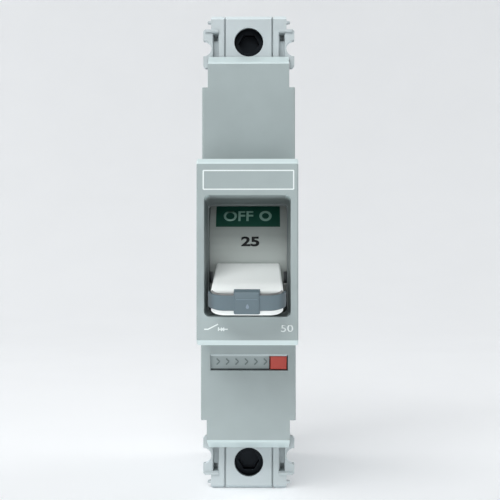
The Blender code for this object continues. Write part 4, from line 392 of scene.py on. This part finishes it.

# Painted highlight on sloped faces of the case, base and shrouds; painted shade in the toggle's well, in the tool
# holes and at the band's ends; a painted shadow along the band's seat on the white lever.
finishes = {
    "case_moulding": moulding("grey moulding", srgb(153, 165, 166), gloss=0.42,
                              painted_shade=well_painted_shade, painted_shade_tint=0.38, slope_highlight_gain=0.88),
    "base_moulding": moulding("base moulding", srgb(181, 191, 194), gloss=0.44, slope_highlight_gain=0.45),
    "shroud_moulding": moulding("shroud moulding", srgb(181, 191, 194), gloss=0.44,
                                painted_shade=tool_hole_painted_shade, painted_shade_tint=0.05, slope_highlight_gain=0.45),
    "toggle_moulding": moulding("white moulding", srgb(246, 251, 250), gloss=0.38,
                                grain_depth=0.002 * MM, flow=0.01, painted_shade=band_seat_painted_shadow,
                                painted_shade_tint=0.12),
    "band_moulding": moulding("grip band rubber", srgb(91, 108, 116), gloss=0.5, painted_shade=band_end_painted_shade),
    "button_moulding": moulding("red moulding", srgb(178, 58, 44), gloss=0.42),
    "dark_moulding": moulding("black moulding", srgb(40, 42, 44), gloss=0.5),
    "fibre_board": board("fibre board", srgb(176, 120, 84)),
    "steel": metal("rolled steel", srgb(150, 154, 158), gloss=0.38, brushed=ROLLED_UPWARDS),
    "plated_steel": metal("zinc plate", srgb(200, 200, 192), gloss=0.3),
    "spring_steel": metal("spring wire", srgb(128, 130, 134), gloss=0.28),
    "copper": metal("copper", srgb(198, 122, 86), gloss=0.34, brushed=ROLLED_UPWARDS),
    "brass": metal("brass", srgb(202, 170, 98), gloss=0.34),
    "silver": metal("silver contact", srgb(216, 216, 212), gloss=0.26),
}

# Finishes of single pieces

# The shield is the lever's white moulding, written darker as painted shade for the shade down the toggle's well.
shield_shaded_white = moulding("shield white moulding, painted shade", srgb(182, 190, 187), gloss=0.45,
                           grain_depth=0.003 * MM, flow=0.02)
copper_braid = braid("copper braid", srgb(202, 128, 90))
black_oxide = metal("blackened steel", srgb(27, 30, 33), gloss=0.42, tarnish=0.3)
white_ink = ink("white ink", srgb(226, 234, 234))
black_ink = ink("black ink", srgb(16, 19, 19))
shadow_ink = ink("dark line", srgb(52, 58, 60))
relief_ink = ink("raised marking", srgb(112, 124, 124))
mark_ink = ink("pale mark", srgb(128, 143, 156))
# Paler than the band, as a painted highlight on the tab.
tab_highlight_ink = ink("tab highlight", srgb(112, 130, 140))
green_label = ink("green label", srgb(26, 80, 66))
red_label = ink("red label", srgb(176, 44, 40))
pale_ink = ink("pale lettering", srgb(150, 188, 176))


def slot_of(name):
    """The record's material slot of a plain solid."""
    return next(entry["material_slot"] for entry in frame["record"]["subparts"]
                if entry["node"] == name)


def dress_nodes():
    """Give each plain solid its slot's finish, and a few of them a finish of their own."""
    for name, node in frame["nodes"].items():
        node.data.materials.clear()
        node.data.materials.append(finishes[slot_of(name)])
    for name, finish in (("toggle_shield", shield_shaded_white), ("line_screw", black_oxide),
                         ("load_screw", black_oxide), ("contact_braid", copper_braid)):
        frame["nodes"][name].data.materials[0] = finish


# Modelling helpers

def nothing_selected():
    """Leave edit mode and deselect everything."""
    if bpy.context.object and bpy.context.object.mode != "OBJECT":
        bpy.ops.object.mode_set(mode="OBJECT")
    bpy.ops.object.select_all(action="DESELECT")


def only(item):
    """Select one object and make it active."""
    nothing_selected()
    item.select_set(True)
    bpy.context.view_layer.objects.active = item


def modifier(item, kind, **settings):
    """Add a modifier, set it and apply it."""
    only(item)
    added = item.modifiers.new(kind.lower(), kind)
    for setting, value in settings.items():
        setattr(added, setting, value)
    bpy.ops.object.modifier_apply(modifier=added.name)


def settle(item, name, body, finish):
    """Put a finished piece's place in its mesh, then name it, dress it and let it ride."""
    only(item)
    bpy.ops.object.transform_apply(location=True, rotation=True, scale=True)
    item.name = name
    item.data.name = name
    item.data.materials.clear()
    item.data.materials.append(finish)
    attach(item, body)


def extent(item):
    """Lowest and highest corner of an object's mesh."""
    points = [vertex.co for vertex in item.data.vertices]
    low = Vector([min(point[axis] for point in points) for axis in range(3)])
    high = Vector([max(point[axis] for point in points) for axis in range(3)])
    return low, high


# Flat shapes, drawn in the XY plane

def plate_mesh(width, height):
    """Flat rectangle."""
    nothing_selected()
    bpy.ops.mesh.primitive_plane_add(size=1.0)
    item = bpy.context.object
    item.scale = (width, height, 1.0)
    bpy.ops.object.transform_apply(scale=True)
    return item


def bar_mesh(start, end, width):
    """Flat bar from one point to another."""
    start, end = Vector(start + (0.0,)), Vector(end + (0.0,))
    along = end - start
    nothing_selected()
    bpy.ops.mesh.primitive_plane_add(size=1.0, location=(start + end) / 2,
                                     rotation=(0.0, 0.0, math.atan2(along.y, along.x)))
    item = bpy.context.object
    item.scale = (along.length, width, 1.0)
    bpy.ops.object.transform_apply(location=True, rotation=True, scale=True)
    return item


def ring_mesh(radius, width):
    """Flat ring."""
    nothing_selected()
    bpy.ops.mesh.primitive_circle_add(vertices=40, radius=radius, fill_type="NGON")
    item = bpy.context.object
    bpy.ops.object.mode_set(mode="EDIT")
    bpy.ops.mesh.select_mode(type="FACE")
    bpy.ops.mesh.select_all(action="SELECT")
    bpy.ops.mesh.inset(thickness=width)
    bpy.ops.mesh.delete(type="FACE")
    bpy.ops.object.mode_set(mode="OBJECT")
    return item


def text_mesh(text, width, height, weight):
    """Lettering, centred and filled to a width and a height, whose strokes a weight swells."""
    nothing_selected()
    bpy.ops.object.text_add()
    item = bpy.context.object
    item.data.body = text
    item.data.offset = weight
    bpy.ops.object.convert(target="MESH")
    item = bpy.context.object
    bpy.ops.object.mode_set(mode="EDIT")
    bpy.ops.mesh.select_all(action="SELECT")
    bpy.ops.mesh.remove_doubles(threshold=0.0001)
    bpy.ops.object.mode_set(mode="OBJECT")
    low, high = extent(item)
    size = high - low
    item.data.transform(Matrix.Translation(-(low + high) / 2))
    item.data.transform(Matrix.Diagonal((width / size.x, height / size.y, 1.0, 1.0)))
    return item


def joined(items):
    """One piece of several flat shapes, each a hair above the last, so that no faces coincide."""
    hair = 0.003 * MM
    nothing_selected()
    for order, item in enumerate(items):
        item.location.z += hair * order
        item.select_set(True)
    bpy.context.view_layer.objects.active = items[0]
    bpy.ops.object.join()
    return items[0]


def sliced(item, pitch):
    """Cut a flat shape across Y, so that it can bend."""
    low, high = extent(item)
    cuts = int((high.y - low.y) / pitch)
    only(item)
    bpy.ops.object.mode_set(mode="EDIT")
    for cut in range(1, cuts + 1):
        bpy.ops.mesh.select_all(action="SELECT")
        height = low.y + (high.y - low.y) * cut / (cuts + 1)
        bpy.ops.mesh.bisect(plane_co=(0.0, height, 0.0), plane_no=(0.0, 1.0, 0.0))
    bpy.ops.object.mode_set(mode="OBJECT")
    return item


# Flat shapes given a thickness and a place

def printed(item, x, z, depth, thickness=INK):
    """Flat shape on a front face of the case."""
    modifier(item, "SOLIDIFY", thickness=thickness, offset=1.0)
    item.rotation_euler = (math.radians(90.0), 0.0, 0.0)
    item.location = (x, -depth, z)
    return item


def cast_on_tab(item, x, z, thickness):
    """Flat shape on the face of the grip's tab, at a place across and up that face."""
    modifier(item, "SOLIDIFY", thickness=thickness, offset=1.0)
    turn = math.radians(REST_ANGLE)
    item.rotation_euler = (math.radians(90.0) + turn, 0.0, 0.0)
    item.location = (x, -HINGE_DEPTH - TAB_FACE * math.cos(turn) - z * math.sin(turn),
                     HINGE_Z - TAB_FACE * math.sin(turn) + z * math.cos(turn))
    return item


def wrapped(item, x, angle, lift=0.0):
    """Flat shape laid round the shield, with its middle at an angle from the lever."""
    sliced(item, pitch=0.25 * MM)
    middle = math.radians(angle - REST_ANGLE)
    radius = SHIELD_RADIUS + lift
    for vertex in item.data.vertices:
        turn = middle + vertex.co.y / SHIELD_RADIUS
        vertex.co = (x + vertex.co.x,
                     -HINGE_DEPTH - radius * math.cos(turn),
                     HINGE_Z + radius * math.sin(turn))
    modifier(item, "SOLIDIFY", thickness=INK, offset=1.0)
    return item


# Copies of plain solids with a finer shape

SHARP = math.radians(38.0)


def merged_copy(name):
    """Copy of a plain solid with its loose triangles merged into faces."""
    node = frame["nodes"][name]
    item = bpy.data.objects.new(name, node.data.copy())
    bpy.context.scene.collection.objects.link(item)
    item.matrix_world = node.matrix_world
    only(item)
    bpy.ops.object.mode_set(mode="EDIT")
    bpy.ops.mesh.select_all(action="SELECT")
    bpy.ops.mesh.remove_doubles(threshold=0.002 * MM)
    bpy.ops.mesh.dissolve_limited(angle_limit=math.radians(1.0))
    bpy.ops.object.mode_set(mode="OBJECT")
    return item


def softened_copy(name, body, finish, rounding):
    """Plain solid with its sharp edges rounded, as moulding and turning leave them."""
    item = merged_copy(name)
    bpy.ops.object.shade_smooth_by_angle(angle=SHARP)
    modifier(item, "BEVEL", width=rounding, segments=3, limit_method="ANGLE", angle_limit=SHARP,
             harden_normals=True)
    settle(item, name + "_moulded", body, finish)
    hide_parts(name)


def wound_copy(name, body):
    """Spring with a rounder wire, riding on its body."""
    item = merged_copy(name)
    modifier(item, "SUBSURF", levels=1, render_levels=1)
    bpy.ops.object.shade_smooth()
    settle(item, name + "_wound", body, finishes["spring_steel"])
    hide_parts(name)
    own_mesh(item)


def build_moulded_pieces():
    """The pieces whose rounded edges show."""
    softened_copy("toggle_lever", "toggle", finishes["toggle_moulding"], rounding=0.35 * MM)
    softened_copy("toggle_band", "toggle", finishes["band_moulding"], rounding=0.27 * MM)
    softened_copy("trip_button", "push_button", finishes["button_moulding"], rounding=0.2 * MM)
    for end in ("line", "load"):
        softened_copy(end + "_shroud", "case", finishes["shroud_moulding"], rounding=0.25 * MM)
    for end in ("line", "load"):
        softened_copy(end + "_cage", end + "_clamp", finishes["plated_steel"], rounding=0.2 * MM)
    for end in ("line", "load"):
        softened_copy(end + "_screw", end + "_clamp_screw", black_oxide, rounding=0.25 * MM)


def build_trip_button_spring():
    """The trip button's spring, with a round wire."""
    wound_copy("trip_button_spring", "case")


def build_main_springs():
    """Both main springs, with a round wire."""
    for side, x in (("left", -5.6 * MM), ("right", 5.6 * MM)):
        wound_copy("main_spring_" + side, "main_springs")


# Mark and painted highlight on the grip's tab

def build_tab_mark():
    """Small drop, its point upwards."""
    radius, reach, taper = 0.38 * MM, 2.0, 0.4
    nothing_selected()
    bpy.ops.mesh.primitive_circle_add(vertices=32, radius=radius, fill_type="NGON")
    item = bpy.context.object
    for vertex in item.data.vertices:
        if vertex.co.y > 0.0:
            vertex.co.y *= reach
            vertex.co.x *= 1.0 - taper * vertex.co.y / (reach * radius)
    drop = cast_on_tab(item, x=0.14 * MM, z=-0.2 * MM, thickness=0.06 * MM)
    settle(drop, "tab_mark", "toggle", mark_ink)


def build_tab_highlight():
    """Painted highlight: a pale line across the top of the tab, along the crease of its top slope."""
    highlight_line = plate_mesh(width=5.0 * MM, height=0.16 * MM)
    highlight_line = cast_on_tab(highlight_line, x=0.0, z=1.7 * MM, thickness=0.04 * MM)
    settle(highlight_line, "tab_highlight", "toggle", tab_highlight_ink)


# Marks, painted highlight and painted shadow on the strip beside the trip button

def build_strip_marks():
    """Raised chevrons that point to the button."""
    count, first_x, pitch = 6, -8.4 * MM, 2.5 * MM
    reach, line = 0.8 * MM, 0.34 * MM
    arms = []
    for place in range(count):
        x = first_x + pitch * place
        arms.append(bar_mesh((x, reach), (x + reach, 0.0), line))
        arms.append(bar_mesh((x + reach, 0.0), (x, -reach), line))
    marks = printed(joined(arms), x=0.0, z=-29.0 * MM, depth=STRIP_FLOOR, thickness=0.12 * MM)
    settle(marks, "strip_marks", "case", relief_ink)


def build_strip_edge_highlight():
    """Lip along the top of the strip, paler as a painted highlight for light that falls on it from below."""
    edge = plate_mesh(width=20.2 * MM, height=0.4 * MM)
    edge = printed(edge, x=0.2 * MM, z=-27.24 * MM, depth=STRIP_FLOOR, thickness=0.85 * MM)
    settle(edge, "strip_edge_highlight", "case", finishes["shroud_moulding"])


def build_strip_painted_shadow():
    """Painted shadow: a dark line along the foot of the strip."""
    joint = plate_mesh(width=15.5 * MM, height=0.34 * MM)
    joint = printed(joint, x=-2.2 * MM, z=-31.02 * MM, depth=STRIP_FLOOR)
    settle(joint, "strip_painted_shadow", "case", shadow_ink)


# Print on the shield

LABEL_ANGLE = 47.0
RATING_ANGLE = 25.9
LETTER_HEIGHT = 3.3 * MM


def ring_sign():
    return ring_mesh(radius=LETTER_HEIGHT / 2, width=0.72 * MM)


def bar_sign():
    return plate_mesh(width=0.85 * MM, height=LETTER_HEIGHT)


def build_label(word, word_width, sign, angle, ground, lettering):
    """Coloured label with a word and a sign on it."""
    name = word.lower()
    label = plate_mesh(width=17.0 * MM, height=6.6 * MM)
    settle(wrapped(label, x=-0.1 * MM, angle=angle), name + "_label", "toggle", ground)
    letters = text_mesh(word, word_width, LETTER_HEIGHT, weight=0.02)
    letters = wrapped(letters, x=-2.65 * MM, angle=angle, lift=INK)
    settle(letters, name + "_word", "toggle", lettering)
    mark = wrapped(sign(), x=4.55 * MM, angle=angle, lift=INK)
    settle(mark, name + "_sign", "toggle", lettering)


def build_rating_number(name, angle):
    number = text_mesh("25", width=4.8 * MM, height=2.65 * MM, weight=0.036)
    settle(wrapped(number, x=0.5 * MM, angle=angle), name, "toggle", black_ink)


def build_shield_print():
    """The label of each position, and the rating beside it."""
    build_label("OFF", 7.9 * MM, ring_sign, LABEL_ANGLE, green_label, pale_ink)
    build_rating_number("rating_number_upper", RATING_ANGLE)
    build_label("ON", 5.6 * MM, bar_sign, -LABEL_ANGLE, red_label, white_ink)
    build_rating_number("rating_number_lower", -RATING_ANGLE)


# Print on the nose

def build_switch_sign():
    """Open switch blade, and a fixed contact whose line bears a cross."""
    left, hinge, contact, right = -10.6 * MM, -9.65 * MM, -7.1 * MM, -4.8 * MM
    blade_foot, blade_tip = (-9.7 * MM, -0.02 * MM), (-7.2 * MM, 1.25 * MM)
    cross_left, cross_right, arm = -6.5 * MM, -5.7 * MM, 0.4 * MM
    bars = [
        bar_mesh((left, 0.0), (hinge, 0.0), LINE),
        bar_mesh(blade_foot, blade_tip, LINE),
        bar_mesh((contact, -0.4 * MM), (contact, 0.5 * MM), LINE),
        bar_mesh((contact, 0.0), (right, 0.0), LINE),
        bar_mesh((cross_left, -arm), (cross_right, arm), LINE),
        bar_mesh((cross_left, arm), (cross_right, -arm), LINE),
    ]
    sign = printed(joined(bars), x=0.0, z=-18.95 * MM, depth=NOSE)
    settle(sign, "switch_sign", "case", white_ink)


def build_nose_number():
    number = text_mesh("50", width=3.0 * MM, height=1.75 * MM, weight=0.006)
    number = printed(number, x=9.7 * MM, z=-18.7 * MM, depth=NOSE)
    settle(number, "nose_number", "case", white_ink)


def build_marking_field():
    """Empty white frame above the toggle's well."""
    half, rise = 11.1 * MM, 2.3 * MM
    bars = [bar_mesh((-half, height), (half, height), LINE) for height in (-rise, rise)]
    bars += [bar_mesh((x, -rise), (x, rise), LINE) for x in (-half, half)]
    field = printed(joined(bars), x=0.25 * MM, z=17.7 * MM, depth=NOSE)
    settle(field, "marking_field", "case", white_ink)


# Studio

FLOOR_Z = cad_box[0].z - 0.05 * MM
SHEET_WIDTH = 3.0
SHEET_BACK = 0.35
SHEET_CURVE = 0.5
ROOM_COLOUR = (0.97, 0.99, 1.0, 1.0)
ROOM_LIGHT = 0.14
ROOM_SHOWN = 0.78


def studio_paper():
    """Pale paper, which shows paler to the camera and in gloss than it lights the object."""
    surface = Surface("studio paper", Roughness=0.9, Specular_IOR_Level=0.1, Emission_Strength=1.0)
    fibres = surface.noise(size=0.05, detail=3.0)
    paper = surface.mix(fibres, (0.70, 0.71, 0.72, 1.0), (0.74, 0.75, 0.76, 1.0))
    shown = surface.node("ShaderNodeLightPath", output="Is Camera Ray")
    for ray in ("Is Glossy Ray", "Is Transmission Ray"):
        shown = shown.either(surface.node("ShaderNodeLightPath", output=ray))
    glow = surface.mix(shown, (0.0, 0.0, 0.0, 1.0), (0.22, 0.23, 0.24, 1.0))
    return surface.shade(Base_Color=paper, Emission_Color=glow)


def build_sheet():
    """One sheet of paper, flat under the object and curved up behind it."""
    nothing_selected()
    middle_y = SHEET_BACK - SHEET_WIDTH / 2
    bpy.ops.mesh.primitive_plane_add(size=SHEET_WIDTH, location=(0.0, middle_y, FLOOR_Z))
    sheet = bpy.context.object
    sheet.name = "studio_sheet"
    bpy.ops.object.mode_set(mode="EDIT")
    bpy.ops.mesh.select_mode(type="EDGE")
    bpy.ops.mesh.select_all(action="DESELECT")
    bpy.ops.object.mode_set(mode="OBJECT")
    for edge in sheet.data.edges:
        edge.select = all(sheet.data.vertices[index].co.y > 0.0 for index in edge.vertices)
    bpy.ops.object.mode_set(mode="EDIT")
    bpy.ops.mesh.spin(steps=24, angle=math.radians(-90.0), axis=(1.0, 0.0, 0.0),
                      center=(0.0, SHEET_BACK, FLOOR_Z + SHEET_CURVE))
    bpy.ops.mesh.extrude_region_move(TRANSFORM_OT_translate={"value": (0.0, 0.0, SHEET_WIDTH / 2)})
    bpy.ops.object.mode_set(mode="OBJECT")
    bpy.ops.object.transform_apply(location=True, rotation=True, scale=True)
    bpy.ops.object.shade_smooth()
    sheet.data.materials.append(studio_paper())


def build_world():
    """Even pale room, which shows paler to the camera and in gloss than it lights the object."""
    world = bpy.data.worlds.new("studio")
    bpy.context.scene.world = world
    world.use_nodes = True
    nodes, links = world.node_tree.nodes, world.node_tree.links
    rays = nodes.new("ShaderNodeLightPath")
    shown = rays.outputs["Is Camera Ray"]
    for ray in ("Is Glossy Ray", "Is Transmission Ray"):
        either = nodes.new("ShaderNodeMath")
        either.operation = "MAXIMUM"
        links.new(shown, either.inputs[0])
        links.new(rays.outputs[ray], either.inputs[1])
        shown = either.outputs[0]
    strength = nodes.new("ShaderNodeMapRange")
    strength.inputs["To Min"].default_value = ROOM_LIGHT
    strength.inputs["To Max"].default_value = ROOM_SHOWN
    links.new(shown, strength.inputs["Value"])
    background = nodes["Background"]
    background.inputs["Color"].default_value = ROOM_COLOUR
    links.new(strength.outputs["Result"], background.inputs["Strength"])


def lamp(name, size, place, aim, power):
    """Soft box, unseen by the camera."""
    nothing_selected()
    bpy.ops.object.light_add(type="AREA", location=place)
    item = bpy.context.object
    item.name = name
    item.data.shape = "RECTANGLE"
    item.data.size, item.data.size_y = size
    item.data.energy = power
    item.rotation_euler = (Vector(aim) - Vector(place)).to_track_quat("-Z", "Y").to_euler()
    item.visible_camera = False


def build_lamps():
    """Large soft boxes above the front and behind both sides, and weak ones low in front."""
    middle = (0.0, -0.05, 0.0)
    lamp("top box", size=(0.9, 0.45), place=(-0.28, -0.70, 0.70), aim=middle, power=8.2)
    lamp("front box", size=(0.6, 0.1), place=(-0.05, -0.55, -0.012), aim=middle, power=0.10)
    lamp("under box", size=(0.30, 0.20), place=(0.0, -0.14, FLOOR_Z + 1.0 * MM),
         aim=(0.0, -0.14, 1.0), power=0.07)
    lamp("low box", size=(0.5, 0.036), place=(0.0, -0.28, FLOOR_Z + 20.0 * MM),
         aim=(0.0, -0.05, -0.04), power=0.09)
    lamp("left box", size=(0.9, 0.9), place=(-1.25, 0.35, 0.75), aim=middle, power=7.0)
    lamp("right box", size=(0.9, 0.9), place=(1.25, 0.35, 0.75), aim=middle, power=7.0)


def build_camera():
    """The photograph's view, straight from the front and close, a little from the right."""
    place, aim = Vector((0.0032, -0.275, 0.0)), Vector((0.00064, -0.068, 0.00049))
    camera_data = bpy.data.cameras.new("camera")
    camera_data.lens = 60.8
    camera_data.sensor_width = 36.0
    camera_data.clip_start = 0.01
    camera = bpy.data.objects.new("camera", camera_data)
    bpy.context.scene.collection.objects.link(camera)
    camera.location = place
    camera.rotation_euler = (aim - place).to_track_quat("-Z", "Y").to_euler()
    bpy.context.scene.camera = camera


dress_nodes()
build_moulded_pieces()
build_trip_button_spring()
build_main_springs()
build_tab_mark()
build_tab_highlight()
build_strip_marks()
build_strip_edge_highlight()
build_strip_painted_shadow()
build_shield_print()
build_switch_sign()
build_nose_number()
build_marking_field()
build_sheet()
build_world()
build_lamps()
build_camera()
bpy.context.scene.view_settings.view_transform = "Standard"
